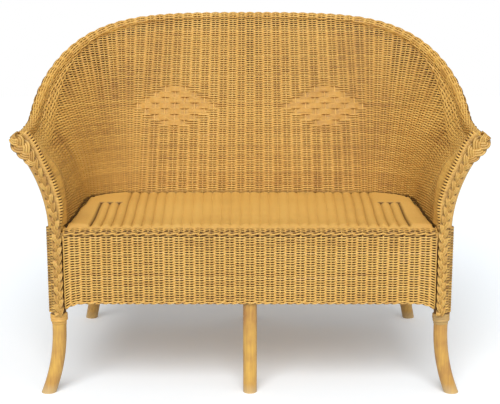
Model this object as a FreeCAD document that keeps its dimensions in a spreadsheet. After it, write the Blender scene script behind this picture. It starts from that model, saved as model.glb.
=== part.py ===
"""A two-seat wicker settee: bent rattan poles dressed with woven cane.

Millimetres, +Z up. The settee faces -Y and +X is on the right of someone who looks at its front.
The origin is on the floor, under the middle of the settee's box. Depths named here are measured
backwards from the front plane, the vertical plane through the axes of the front posts.
"""
import FreeCAD, Part
import collections
import math
import os
import Sketcher

Vector = FreeCAD.Vector
Plan = collections.namedtuple("Plan", "half front_half back corner front")

# Driving dimensions: name, millimetres (or degrees, or plain number), meaning
SIZES = (
    ("front_plane", -320.5, "Y of the front plane"),
    ("pole_radius", 17.5, "legs and posts"),
    ("post_half", 480.5, "axis of a front post, out from the middle"),
    ("post_splay", 32.5, "how far a front foot stands out from its post"),
    ("knee_height", 170, "where a front post starts to curve out to its foot"),
    ("flare_height", 415, "where a front post starts to curve out to the arm's tip"),
    ("tip_out", 89.5, "how far the arm's tip stands out from its post"),
    ("tip_height", 656, "middle of the arm's tip"),
    ("wrap_thickness", 1.2, "cane wound round a front post"),
    ("braid_half", 14.5, "half the width of the plait on a post's front"),
    ("braid_depth", 5.5, "half the depth of that plait"),
    ("collar_bottom", 180, "underside of the binding below the weave"),
    ("collar_height", 30, "height of that binding"),
    ("collar_top_radius", 22, "binding's radius at its top"),
    ("collar_foot_radius", 20, "binding's radius at its bottom"),
    ("rail_height", 408, "axis of the front seat rail"),
    ("rail_radius", 16, "front seat rail"),
    ("hoop_height", 398, "axis of the bent seat hoop"),
    ("hoop_radius", 13, "bent seat hoop"),
    ("lower_height", 254, "axis of the lower hoop and the apron rails"),
    ("lower_radius", 8, "lower hoop and apron rails"),
    ("lower_back", 528, "lower hoop's depth at the back"),
    ("lower_corner", 120, "lower hoop's corner radius"),
    ("bearer_radius", 10, "seat bearers"),
    ("bearer_pitch", 125, "from one seat bearer to the next"),
    ("brace_radius", 7, "diagonal braces behind the apron"),
    ("brace_reach", 105, "run of a brace along the rail and down the post"),
    ("centre_leg_depth", 2, "axis of the front centre leg"),
    ("rear_foot_half", 488, "rear corner foot, out from the middle"),
    ("rear_foot_depth", 625, "rear feet"),
    ("rear_leg_bow", 8, "how far a rear leg bows from a straight line"),
    ("rear_leg_turn", 36, "where under the hoop's corner a rear leg stands, degrees"),
    ("upright_radius", 11, "back uprights"),
    ("upright_turn", 28, "where on the hoop's corner an upright stands, degrees"),
    ("upright_offset", 17.5, "upright's axis outside the middle of the back weave"),
    ("upright_seat", 8, "how far above the hoop's axis an upright's lower end is cut"),
    ("hoop_offset", 8, "hoop's axis outside the middle of the back weave"),
    ("seat_half", 464, "back weave at the seat, out from the middle"),
    ("seat_back", 520, "back weave at the seat, depth"),
    ("seat_corner", 140, "corner radius of the back weave at the seat"),
    ("seat_base", 412, "lower edge of the back weave"),
    ("rim_half", 586, "axis of the top rail at the arms"),
    ("rim_front_half", 560, "axis of the top rail at the arms' tips"),
    ("rim_back", 655, "axis of the top rail at the back"),
    ("rim_corner", 287.5, "corner radius of the top rail"),
    ("rim_arm_height", 643.5, "axis of the top rail along the arms"),
    ("rim_top_height", 913.5, "axis of the top rail along the back"),
    ("rim_rise_from", 865, "along the rail from the middle, where the arms start to rise"),
    ("rim_rise_length", 314.5, "length over which most of the rise happens"),
    ("rim_tip_rise", 9, "how far the rail turns up again at an arm's tip"),
    ("rim_tip_share", 0.85, "where that turn starts, as a share of half the weave's length"),
    ("rim_radius", 12.5, "rolled border round the top rail"),
    ("top_rail_radius", 9, "top rail inside the border"),
    ("weave_thickness", 9, "back and arm weave, across its stakes"),
    ("weave_hollow", 5, "back and arm weave, between its stakes"),
    ("stakes_per_half", 40, "stakes of the back weave on each side of its middle one"),
    ("stake_level", 0.75, "how far up that weave its stakes are evenly apart, as a share"),
    ("weave_front", 21, "front edge of the arm weave, depth"),
    ("arm_curve", 2.1, "how late the arm weave flares out, 1 is a straight line"),
    ("back_curve", 1.2, "the same for the back weave"),
    ("front_curve", 4.5, "the same at the arms' fronts, where the weave hugs the posts"),
    ("front_curve_from", 0.8, "where it starts to hug them, as a share of half the weave's length"),
    ("panel_thickness", 8, "apron, skirt and front roll"),
    ("roll_radius", 24, "outside of the woven roll on the front rail"),
    ("roll_rear_turn", 60, "rear edge of that roll, degrees above the rail's rear side"),
    ("front_panel_half", 460, "half the width of the apron, the roll and the wale"),
    ("apron_bottom", 242, "lower edge of the apron, above its hem"),
    ("apron_droop", 20, "how far the apron's lower corners hang below its edge"),
    ("apron_droop_run", 70, "length of that droop"),
    ("deck_half", 455, "seat deck, out from the middle"),
    ("deck_front", 12, "front edge of the seat deck, depth"),
    ("deck_back", 511, "rear edge of the seat deck, depth"),
    ("deck_corner", 131, "corner radius of the seat deck"),
    ("deck_bottom", 419, "underside of the seat deck at its front"),
    ("deck_thickness", 5, "seat deck in the creases between its ribs"),
    ("rib_pitch", 25.3, "from one rib of the seat to the next"),
    ("rib_rise", 8, "height of a rib above the creases"),
    ("ribs", 32, "ribs across the seat"),
    ("end_panel_rise", 7, "height of the seat's flat ends above the creases"),
    ("deck_slope", 1.6, "seat's fall to the rear, degrees"),
    ("skirt_half", 497, "skirt, out from the middle"),
    ("skirt_front", 16, "front edge of the skirt, depth"),
    ("skirt_top", 422, "upper edge of the skirt"),
    ("skirt_top_back", 557, "skirt's depth at its upper edge"),
    ("skirt_top_corner", 177, "skirt's corner radius at its upper edge"),
    ("skirt_bottom_back", 589, "skirt's depth at its lower edge"),
    ("skirt_bottom_corner", 118, "skirt's corner radius at its lower edge"),
    ("ledge_gap", 4, "room for the back weave's lean beside that border"),
    ("ledge_half_height", 6, "half the height of the plaited border on the skirt's top"),
    ("rope_radius", 4.5, "hems and wales"),
    ("wale_height", 414, "axis of the wales"),
    ("screw_radius", 2.2, "screw shanks"),
    ("screw_head_radius", 4.5, "screw heads"),
    ("screw_head_length", 3, "screw heads"),
    ("screw_length", 55, "screws, heads included"),
    ("screw_recess", 2, "how deep a head is sunk below a pole's surface"),
)
BEARERS = ("far_left", "left", "mid_left", "mid_right", "right", "far_right")
RIM_STEPS = 40
COLUMNS_PER_STAKE = 4
WEAVE_ROWS = 6
SKIRT_COLUMNS = 36
SKIRT_ROWS = 3
ARC_REACH = 0.45
NEGLIGIBLE_TURN = math.radians(0.1)

document = FreeCAD.newDocument("settee")
sheet = document.addObject("Spreadsheet::Sheet", "Sizes")
for row, (alias, value, meaning) in enumerate(SIZES, start=1):
    sheet.set(f"A{row}", meaning)
    sheet.set(f"B{row}", str(value))
    sheet.setAlias(f"B{row}", alias)
document.recompute()
pieces = {}


def size(alias):
    """The number in a cell of the sheet."""
    return float(sheet.get(alias))


def at(x, depth, height):
    """A point given by its depth behind the front plane."""
    return Vector(x, size("front_plane") + depth, height)


def keep(name, item):
    """Registers an object as the finished piece of that name."""
    item.Label = name
    pieces[name] = item
    return item


def wire_path(name, edges):
    """A path object made of edges that follow each other."""
    path = document.addObject("Part::Feature", name)
    path.Shape = Part.Wire([edge.toShape() for edge in edges])
    return path


def rounded_run(points):
    """Straight runs between points, joined by arcs as large as the shorter run at each corner allows."""
    edges = []
    start = points[0]
    for before, corner, after in zip(points, points[1:], points[2:]):
        back = before - corner
        on = after - corner
        reach = ARC_REACH * min(back.Length, on.Length)
        back.normalize()
        on.normalize()
        half_angle = back.getAngle(on) / 2
        if math.pi / 2 - half_angle < NEGLIGIBLE_TURN:
            continue
        inward = (back + on).normalize()
        radius = reach * math.tan(half_angle)
        arc_start = corner + back * reach
        arc_end = corner + on * reach
        middle = corner + inward * (radius / math.sin(half_angle) - radius)
        edges.append(Part.LineSegment(start, arc_start))
        edges.append(Part.Arc(arc_start, middle, arc_end))
        start = arc_end
    edges.append(Part.LineSegment(start, points[-1]))
    return edges


def section_at_start(name, path, radius):
    """A circle square to a path, at the path's start."""
    wire = path.Shape.Wires[0]
    first = wire.OrderedEdges[0]
    start = wire.OrderedVertexes[0].Point
    ends = (first.FirstParameter, first.LastParameter)
    nearest = min(ends, key=lambda end: (first.valueAt(end) - start).Length)
    circle = document.addObject("Part::Circle", name)
    circle.setExpression("Radius", radius)
    circle.Placement = FreeCAD.Placement(start, FreeCAD.Rotation(Vector(0, 0, 1), first.tangentAt(nearest)))
    return circle


def bent_pole(name, path, radius):
    """A round pole that follows a path."""
    pole = document.addObject("Part::Sweep", name)
    pole.Sections = [section_at_start(name + "_section", path, radius)]
    pole.Spine = (path, [f"Edge{number}" for number in range(1, len(path.Shape.Edges) + 1)])
    pole.Solid = True
    document.recompute()
    return pole


def straight_pole(name, start, end, radius):
    """A round pole from one point to another."""
    pole = document.addObject("Part::Cylinder", name)
    pole.setExpression("Radius", radius)
    pole.Height = (end - start).Length
    pole.Placement = FreeCAD.Placement(start, FreeCAD.Rotation(Vector(0, 0, 1), end - start))
    return pole


def cut(name, base, tools):
    """What is left of a piece after others are cut from it, one by one."""
    result = base
    for number, tool in enumerate(tools, start=1):
        step = document.addObject("Part::Cut", f"{name}_{number}")
        step.Base = result
        step.Tool = tool
        result = step
    return result


def mirrored(name, source):
    """The left-hand twin of a right-hand piece."""
    twin = document.addObject("Part::Mirroring", name)
    twin.Source = source
    twin.Base = Vector(0, 0, 0)
    twin.Normal = Vector(1, 0, 0)
    return twin


def body_sketch(name, role):
    """A body and a sketch on one of its origin planes."""
    body = document.addObject("PartDesign::Body", name + "_body")
    sketch = body.newObject("Sketcher::SketchObject", name + "_sketch")
    plane = next(item for item in body.Origin.OriginFeatures if item.Role == role)
    sketch.AttachmentSupport = (plane, [""])
    sketch.MapMode = "FlatFace"
    return body, sketch


def dimension(sketch, kind, references, value, name, expression):
    """A named dimension of a sketch, bound to the sheet."""
    index = sketch.addConstraint(Sketcher.Constraint(kind, *references, value))
    sketch.renameConstraint(index, name)
    sketch.setExpression("Constraints." + name, expression)


def loop_of(sketch, curves, tangent_from=()):
    """Adds curves that follow each other round a loop; those named leave into the next one without a corner."""
    indices = [sketch.addGeometry(curve) for curve in curves]
    for index, following in zip(indices, indices[1:] + indices[:1]):
        kind = "Tangent" if index in tangent_from else "Coincident"
        sketch.addConstraint(Sketcher.Constraint(kind, index, 2, following, 1))
    return indices


def level(sketch, horizontal, vertical):
    """Makes lines of a sketch horizontal or vertical."""
    for line in horizontal:
        sketch.addConstraint(Sketcher.Constraint("Horizontal", line))
    for line in vertical:
        sketch.addConstraint(Sketcher.Constraint("Vertical", line))


def padded(body, sketch, length):
    """A body made by giving its sketch a thickness."""
    pad = body.newObject("PartDesign::Pad", sketch.Name + "_pad")
    pad.Profile = sketch
    pad.setExpression("Length", length)
    return body


def smooth(low, high, value):
    """0 below low, 1 above high, with an easy curve between."""
    share = min(1.0, max(0.0, (value - low) / (high - low)))
    return share * share * (3 - 2 * share)


def zone_lengths(plan):
    """Lengths of half a plan's straight back, its corner and its side."""
    return plan.half - plan.corner, plan.corner * math.pi / 2, plan.back - plan.corner - plan.front


def zone_ends(plan):
    """Shares of half a plan's length at which its straight back and its corner end."""
    back, corner, side = zone_lengths(plan)
    length = back + corner + side
    return back / length, (back + corner) / length


SEAT_PLAN = Plan(size("seat_half"), size("seat_half"), size("seat_back"), size("seat_corner"),
                 size("weave_front"))
RIM_PLAN = Plan(size("rim_half"), size("rim_front_half"), size("rim_back"), size("rim_corner"),
                size("weave_front"))
RIM_INSET = size("rim_radius") - size("weave_thickness") / 2
WEAVE_TOP_PLAN = Plan(RIM_PLAN.half - RIM_INSET, RIM_PLAN.front_half - RIM_INSET, RIM_PLAN.back - RIM_INSET,
                      RIM_PLAN.corner - RIM_INSET, RIM_PLAN.front)
SKIRT_TOP_PLAN = Plan(size("skirt_half"), size("skirt_half"), size("skirt_top_back"), size("skirt_top_corner"),
                      size("skirt_front"))
SKIRT_BOTTOM_PLAN = SKIRT_TOP_PLAN._replace(back=size("skirt_bottom_back"), corner=size("skirt_bottom_corner"))
BACK_END, CORNER_END = zone_ends(SEAT_PLAN)


def plan_point(plan, place):
    """x and depth on a plan; place runs from 0 at the middle of the back to 1 at the right arm's front."""
    along = abs(place)
    if along < BACK_END:
        x = (plan.half - plan.corner) * along / BACK_END
        depth = plan.back
    elif along < CORNER_END:
        turn = math.pi / 2 * (along - BACK_END) / (CORNER_END - BACK_END)
        x = plan.half - plan.corner + plan.corner * math.sin(turn)
        depth = plan.back - plan.corner + plan.corner * math.cos(turn)
    else:
        share = (along - CORNER_END) / (1 - CORNER_END)
        x = plan.half + (plan.front_half - plan.half) * share ** 2
        depth = plan.back - plan.corner + (plan.front - plan.back + plan.corner) * share
    return math.copysign(x, place), depth


def rim_height(place):
    """Height of the top rail's axis: level along the arms and the back, with an easy rise between."""
    along = abs(place)
    back, corner, side = zone_lengths(RIM_PLAN)
    travelled = back * min(along, BACK_END) / BACK_END
    travelled += corner * min(max(along - BACK_END, 0), CORNER_END - BACK_END) / (CORNER_END - BACK_END)
    travelled += side * max(along - CORNER_END, 0) / (1 - CORNER_END)
    climbed = max(0, size("rim_rise_from") - travelled)
    rise = 1 - math.exp(-(climbed / size("rim_rise_length")) ** 2)
    tip = size("rim_tip_rise") * smooth(size("rim_tip_share"), 1, along)
    return size("rim_arm_height") + (size("rim_top_height") - size("rim_arm_height")) * rise + tip


def corner_place(degrees):
    """The place of a point of the corner, given the turn from the back."""
    return BACK_END + (CORNER_END - BACK_END) * degrees / 90


def rim_point(place):
    """A point of the top rail's axis."""
    x, depth = plan_point(RIM_PLAN, place)
    return at(x, depth, rim_height(place))


def border_underside(place):
    """Height of the rolled border's underside, which is lower where the rail is steep."""
    step = 0.01
    low = rim_point(max(place - step, -1))
    high = rim_point(min(place + step, 1))
    steepness = (high.z - low.z) / math.hypot(high.x - low.x, high.y - low.y)
    return rim_height(place) - size("rim_radius") * math.hypot(1, steepness)


def weave_point(place, share):
    """The middle of the back and arm weave; share runs from 0 at the seat to 1 under the border."""
    low = size("seat_base")
    height = low + share * (border_underside(place) - low)
    bend = smooth(BACK_END, CORNER_END, abs(place))
    curve = size("back_curve") + (size("arm_curve") - size("back_curve")) * bend
    hug = smooth(size("front_curve_from"), 1, abs(place))
    curve += (size("front_curve") - size("arm_curve")) * hug
    lean = share ** curve
    base_x, base_depth = plan_point(SEAT_PLAN, place)
    top_x, top_depth = plan_point(WEAVE_TOP_PLAN, place)
    return at(base_x + (top_x - base_x) * lean, base_depth + (top_depth - base_depth) * lean, height)


def skirt_point(place, share):
    """The middle of the skirt; share runs from 0 at its hem to 1 at its upper edge."""
    low_x, low_depth = plan_point(SKIRT_BOTTOM_PLAN, place)
    top_x, top_depth = plan_point(SKIRT_TOP_PLAN, place)
    bottom = size("apron_bottom")
    return at(low_x + (top_x - low_x) * share, low_depth + (top_depth - low_depth) * share,
              bottom + (size("skirt_top") - bottom) * share)


def stake_place(number):
    """The place of a stake of the back weave, counted from the middle of the back, or of a part of a step."""
    level = size("stake_level")
    ends = zip(zone_lengths(SEAT_PLAN), zone_lengths(WEAVE_TOP_PLAN))
    back, corner, side = (low + (top - low) * level for low, top in ends)
    run = (back + corner + side) * abs(number) / size("stakes_per_half")
    if run < back:
        place = BACK_END * run / back
    elif run < back + corner:
        place = BACK_END + (CORNER_END - BACK_END) * (run - back) / corner
    else:
        place = CORNER_END + (1 - CORNER_END) * (run - back - corner) / side
    return math.copysign(place, number)


def stake_columns():
    """Places across the back weave, with its thickness there: full at a stake and less between stakes."""
    hollow, full = size("weave_hollow"), size("weave_thickness")
    reach = round(size("stakes_per_half")) * COLUMNS_PER_STAKE
    columns = []
    for step in range(-reach, reach + 1):
        number = step / COLUMNS_PER_STAKE
        swell = (1 + math.cos(2 * math.pi * number)) / 2
        columns.append((stake_place(number), hollow + (full - hollow) * swell))
    return columns


def even_columns(count, thickness):
    """Places evenly apart with one thickness."""
    return [(-1 + 2 * column / count, thickness) for column in range(count + 1)]


def woven_panel(name, point, rows, columns):
    """A thin curved solid on both sides of the surface that point(place, share) gives."""
    step = 1e-4

    def offset_surface(side):
        grid = []
        for place, thickness in columns:
            line = []
            for row in range(rows + 1):
                share = row / rows
                along = point(min(place + step, 1), share) - point(max(place - step, -1), share)
                up = point(place, min(share + step, 1)) - point(place, max(share - step, 0))
                line.append(point(place, share) + along.cross(up).normalize() * (side * thickness / 2))
            grid.append(line)
        surface = Part.BSplineSurface()
        surface.interpolate(grid)
        return surface

    front = offset_surface(1)
    rear = offset_surface(-1)
    faces = [front.toShape(), rear.toShape()]
    u_first, u_last, v_first, v_last = front.bounds()
    rear_u_first, rear_u_last, rear_v_first, rear_v_last = rear.bounds()
    edge_pairs = (
        (front.uIso(u_first), rear.uIso(rear_u_first)),
        (front.uIso(u_last), rear.uIso(rear_u_last)),
        (front.vIso(v_first), rear.vIso(rear_v_first)),
        (front.vIso(v_last), rear.vIso(rear_v_last)),
    )
    for one, other in edge_pairs:
        faces.append(Part.makeRuledSurface(one.toShape(), other.toShape()))
    shell = Part.makeShell(faces)
    shell.sewShape()
    solid = Part.Solid(shell)
    if solid.Volume < 0:
        solid.reverse()
    panel = document.addObject("Part::Feature", name)
    panel.Shape = solid
    return panel


def widened(plan, distance):
    """A plan moved outwards on all its sides."""
    return plan._replace(half=plan.half + distance, front_half=plan.front_half + distance,
                         back=plan.back + distance, corner=plan.corner + distance)


def u_path(name, plan, height):
    """A level path round a plan, from the left front to the right front."""
    half, back, corner = plan.half, plan.back, plan.corner
    slant = corner * math.sqrt(0.5)
    left_start = at(-half, back - corner, height)
    left_end = at(-half + corner, back, height)
    right_start = at(half - corner, back, height)
    right_end = at(half, back - corner, height)
    left_middle = at(-half + corner - slant, back - corner + slant, height)
    right_middle = at(half - corner + slant, back - corner + slant, height)
    edges = [
        Part.LineSegment(at(-half, plan.front, height), left_start),
        Part.Arc(left_start, left_middle, left_end),
        Part.LineSegment(left_end, right_start),
        Part.Arc(right_start, right_middle, right_end),
        Part.LineSegment(right_end, at(half, plan.front, height)),
    ]
    return wire_path(name, edges)


# Front posts: a sabre foot, a straight leg and an arm that flares out to its tip
def front_post_path(name, with_foot):
    post, splay, knee = size("post_half"), size("post_splay"), size("knee_height")
    flare, out, tip = size("flare_height"), size("tip_out"), size("tip_height")
    low = knee if with_foot else size("collar_bottom") + size("collar_height")
    arm_radius = (out ** 2 + (tip - flare) ** 2) / (2 * out)
    arm_turn = math.asin((tip - flare) / arm_radius)
    path = document.addObject("Sketcher::SketchObject", name)
    path.Placement = FreeCAD.Placement(Vector(0, 0, 0), FreeCAD.Rotation(Vector(1, 0, 0), 90))
    path.setExpression("Placement.Base.y", "Sizes.front_plane")
    axis = Vector(0, 0, 1)
    leg = path.addGeometry(Part.LineSegment(Vector(post, low, 0), Vector(post, flare, 0)))
    arm_circle = Part.Circle(Vector(post + arm_radius, flare, 0), axis, arm_radius)
    arm = path.addGeometry(Part.ArcOfCircle(arm_circle, math.pi - arm_turn, math.pi))
    path.addConstraint(Sketcher.Constraint("Vertical", leg))
    path.addConstraint(Sketcher.Constraint("Tangent", leg, 2, arm, 2))
    dimension(path, "DistanceX", (-1, 1, leg, 1), post, "post", "Sizes.post_half")
    dimension(path, "DistanceY", (-1, 1, leg, 2), flare, "flare", "Sizes.flare_height")
    dimension(path, "DistanceX", (-1, 1, arm, 1), post + out, "tip_side", "Sizes.post_half + Sizes.tip_out")
    dimension(path, "DistanceY", (-1, 1, arm, 1), tip, "tip_top", "Sizes.tip_height")
    if with_foot:
        foot_radius = (splay ** 2 + knee ** 2) / (2 * splay)
        foot_turn = math.asin(knee / foot_radius)
        foot_circle = Part.Circle(Vector(post + foot_radius, knee, 0), axis, foot_radius)
        foot = path.addGeometry(Part.ArcOfCircle(foot_circle, math.pi, math.pi + foot_turn))
        path.addConstraint(Sketcher.Constraint("Tangent", leg, 1, foot, 1))
        path.addConstraint(Sketcher.Constraint("PointOnObject", foot, 2, -1))
        dimension(path, "DistanceY", (-1, 1, leg, 1), knee, "knee", "Sizes.knee_height")
        out_at_floor = "Sizes.post_half + Sizes.post_splay"
        dimension(path, "DistanceX", (-1, 1, foot, 2), post + splay, "foot", out_at_floor)
    else:
        dimension(path, "DistanceY", (-1, 1, leg, 1), low, "start", "Sizes.collar_bottom + Sizes.collar_height")
    document.recompute()
    return path


def floor_trimmer():
    """Everything below the floor, which flattens the feet."""
    block = document.addObject("Part::Box", "below_floor")
    block.Length = 2 * size("rim_half")
    block.Width = 2 * size("rim_back")
    block.Height = 2 * size("pole_radius")
    block.Placement.Base = Vector(-size("rim_half"), -size("rim_back"), -block.Height)
    return block


def foot_stub(name, path, radius):
    """A short length of pole that carries a slanting foot down through the floor."""
    wire = path.Shape.Wires[0]
    vertices = wire.OrderedVertexes
    edges = wire.OrderedEdges
    at_start = vertices[0].Point.z < vertices[-1].Point.z
    foot = vertices[0].Point if at_start else vertices[-1].Point
    edge = edges[0] if at_start else edges[-1]
    ends = (edge.FirstParameter, edge.LastParameter)
    nearest = min(ends, key=lambda end: (edge.valueAt(end) - foot).Length)
    down = edge.tangentAt(nearest)
    if down.z > 0:
        down = -down
    return straight_pole(name, foot, foot + down * size("pole_radius"), radius)


def footed_pole(name, path):
    """A bent pole whose foot is cut level with the floor."""
    pole = bent_pole(name + "_pole", path, "Sizes.pole_radius")
    stub = foot_stub(name + "_stub", path, "Sizes.pole_radius")
    whole = document.addObject("Part::Fuse", name + "_whole")
    whole.Base = pole
    whole.Tool = stub
    return cut(name + "_level", whole, [below_floor])


below_floor = floor_trimmer()
post_right = footed_pole("post_right", front_post_path("post_path", True))
post_left = mirrored("post_left", post_right)
arm_path = front_post_path("arm_path", False)


# Seat frame: a straight front rail and a hoop bent round the sides and the back
HOOP_PLAN = widened(SEAT_PLAN, size("hoop_offset"))._replace(front=0)
front_rail = straight_pole("front_rail", at(-size("post_half"), 0, size("rail_height")),
                           at(size("post_half"), 0, size("rail_height")), "Sizes.rail_radius")
seat_hoop = bent_pole("hoop", u_path("hoop_path", HOOP_PLAN, size("hoop_height")), "Sizes.hoop_radius")
coped_rail = cut("coped_rail", front_rail, [post_right, post_left])
coped_hoop = cut("coped_hoop", seat_hoop, [post_right, post_left, front_rail])


def bearer(number):
    """A pole from the front rail to the hoop, as steep as the deck it carries."""
    x = (number - (len(BEARERS) - 1) / 2) * size("bearer_pitch")
    slope = math.radians(size("deck_slope"))
    radius = size("bearer_radius")
    start_depth = 0
    end_depth = HOOP_PLAN.back

    def axis_height(depth):
        return size("deck_bottom") - (depth - size("deck_front")) * math.tan(slope) - radius / math.cos(slope)

    pole = straight_pole(f"bearer_{number}", at(x, start_depth, axis_height(start_depth)),
                         at(x, end_depth, axis_height(end_depth)), "Sizes.bearer_radius")
    return cut(f"coped_bearer_{number}", pole, [front_rail, seat_hoop])


bearers = [bearer(number) for number in range(len(BEARERS))]


# Legs under the middle of the front and along the back
def rear_leg(name, x_top, depth_top, x_foot):
    """A leg bowed towards the seat, from the floor up to the underside of the hoop."""
    foot = at(x_foot, size("rear_foot_depth"), 0)
    top = at(x_top, depth_top, size("hoop_height"))
    outward = Vector(foot.x - top.x, foot.y - top.y, 0).normalize()
    middle = (foot + top) / 2 - outward * size("rear_leg_bow")
    path = wire_path(name + "_path", [Part.Arc(foot, middle, top)])
    return cut(name, footed_pole(name, path), [seat_hoop])


centre_depth = size("centre_leg_depth")
centre_leg_pole = straight_pole("centre_leg_pole", at(0, centre_depth, 0),
                                at(0, centre_depth, size("rail_height")), "Sizes.pole_radius")
centre_leg = cut("centre_leg", centre_leg_pole, [front_rail])
leg_x, leg_depth = plan_point(HOOP_PLAN, corner_place(size("rear_leg_turn")))
rear_right = rear_leg("rear_right", leg_x, leg_depth, size("rear_foot_half"))
rear_left = mirrored("rear_left", rear_right)
rear_centre = rear_leg("rear_centre", 0, HOOP_PLAN.back, 0)
rear_legs = [rear_right, rear_left, rear_centre]

# Lower hoop inside the rear legs, apron rails beside the centre leg and braces up to the front rail
LOWER_PLAN = Plan(size("post_half"), size("post_half"), size("lower_back"), size("lower_corner"), 0)
low_height = size("lower_height")
lower_pole = bent_pole("lower_pole", u_path("lower_path", LOWER_PLAN, low_height), "Sizes.lower_radius")
lower_hoop = cut("lower_hoop", lower_pole, [post_right, post_left] + rear_legs)
apron_pole = straight_pole("apron_pole", at(0, 0, low_height), at(size("post_half"), 0, low_height),
                           "Sizes.lower_radius")
apron_rail_right = cut("apron_rail_right", apron_pole, [centre_leg_pole, post_right])
apron_rail_left = mirrored("apron_rail_left", apron_rail_right)
brace_low = at(size("post_half"), 0, size("rail_height") - size("brace_reach"))
brace_high = at(size("post_half") - size("brace_reach"), 0, size("rail_height"))
brace_pole = straight_pole("brace_pole", brace_low, brace_high, "Sizes.brace_radius")
brace_right = keep("front_brace_right", cut("brace_right", brace_pole, [post_right, front_rail]))
keep("front_brace_left", mirrored("brace_left", brace_right))


# Cane wound round each post, the plait down its front and the binding below them
def post_wrap():
    outer = bent_pole("wrap_outer", arm_path, "Sizes.pole_radius + Sizes.wrap_thickness")
    inner = bent_pole("wrap_inner", arm_path, "Sizes.pole_radius")
    return cut("wrap_right", outer, [inner, front_rail, seat_hoop, lower_pole, apron_pole, brace_pole])


def arm_braid():
    section = document.addObject("Part::Ellipse", "braid_section")
    section.setExpression("MajorRadius", "Sizes.braid_half")
    section.setExpression("MinorRadius", "Sizes.braid_depth")
    setback = size("pole_radius") + size("wrap_thickness") + size("braid_depth")
    section.Placement.Base = at(size("post_half"), -setback, size("collar_bottom") + size("collar_height"))
    braid = document.addObject("Part::Sweep", "braid_right")
    braid.Sections = [section]
    braid.Spine = (arm_path, ["Edge1", "Edge2"])
    braid.Solid = True
    return braid


def leg_collar():
    outside = document.addObject("Part::Cone", "collar_outside")
    outside.setExpression("Radius1", "Sizes.collar_foot_radius")
    outside.setExpression("Radius2", "Sizes.collar_top_radius")
    outside.setExpression("Height", "Sizes.collar_height")
    outside.Placement.Base = at(size("post_half"), 0, size("collar_bottom"))
    return cut("collar_right", outside, [post_right])


for node, right_piece in (("post_wrap", post_wrap()), ("arm_braid", arm_braid()), ("leg_collar", leg_collar())):
    keep(node + "_right", right_piece)
    keep(node + "_left", mirrored(node + "_left_twin", right_piece))

# Top rail from one arm's tip round the back to the other, and the rolled border woven round it
rim_places = [-1 + 2 * step / RIM_STEPS for step in range(RIM_STEPS + 1)]
rim_path = wire_path("rim_path", rounded_run([rim_point(place) for place in rim_places]))
top_rail = bent_pole("rail_inside", rim_path, "Sizes.top_rail_radius")
border = bent_pole("border_outside", rim_path, "Sizes.rim_radius")
keep("rim_border", cut("border", border, [top_rail]))


# Back uprights: from the hoop up to the rolled border
def upright(name, degrees, place):
    turn = math.radians(degrees)
    outward = Vector(math.sin(turn), math.cos(turn), 0)
    x, depth = plan_point(SEAT_PLAN, place)
    foot = at(x, depth, size("hoop_height") + size("upright_seat")) + outward * size("upright_offset")
    top = rim_point(place) + outward * (size("upright_offset") - RIM_INSET)
    pole = straight_pole(name + "_pole", foot, top, "Sizes.upright_radius")
    return cut(name, pole, [seat_hoop, border])


upright_right = upright("upright_right", size("upright_turn"), corner_place(size("upright_turn")))
upright_left = mirrored("upright_left", upright_right)
upright_centre = upright("upright_centre", 0, 0)
keep("back_upright_right", upright_right)
keep("back_upright_left", upright_left)
keep("back_upright_centre", upright_centre)

# Woven panels
back_weave = woven_panel("weave", weave_point, WEAVE_ROWS, stake_columns())
keep("back_and_arm_weave", cut("trimmed_weave", back_weave, [border]))
skirt_columns = even_columns(SKIRT_COLUMNS, size("panel_thickness"))
keep("skirt_weave", woven_panel("skirt", skirt_point, SKIRT_ROWS, skirt_columns))


def rib_profile():
    """The seat's cross-section: round ribs from front to back between two flat ends."""
    half, pitch, count = size("deck_half"), size("rib_pitch"), round(size("ribs"))
    crease = size("deck_thickness")
    end_top = crease + size("end_panel_rise")
    crest = crease + size("rib_rise")
    edge = count * pitch / 2
    left_end = [Vector(-edge, 0, crease), Vector(-edge, 0, end_top), Vector(-half, 0, end_top)]
    right_end = [Vector(half, 0, end_top), Vector(edge, 0, end_top), Vector(edge, 0, crease)]
    corners = left_end + [Vector(-half, 0, 0), Vector(half, 0, 0)] + right_end
    edges = [Part.LineSegment(start, end) for start, end in zip(corners, corners[1:])]
    for number in range(count):
        right = edge - number * pitch
        edges.append(Part.Arc(Vector(right, 0, crease), Vector(right - pitch / 2, 0, crest),
                              Vector(right - pitch, 0, crease)))
    return wire_path("rib_profile", edges)


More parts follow.
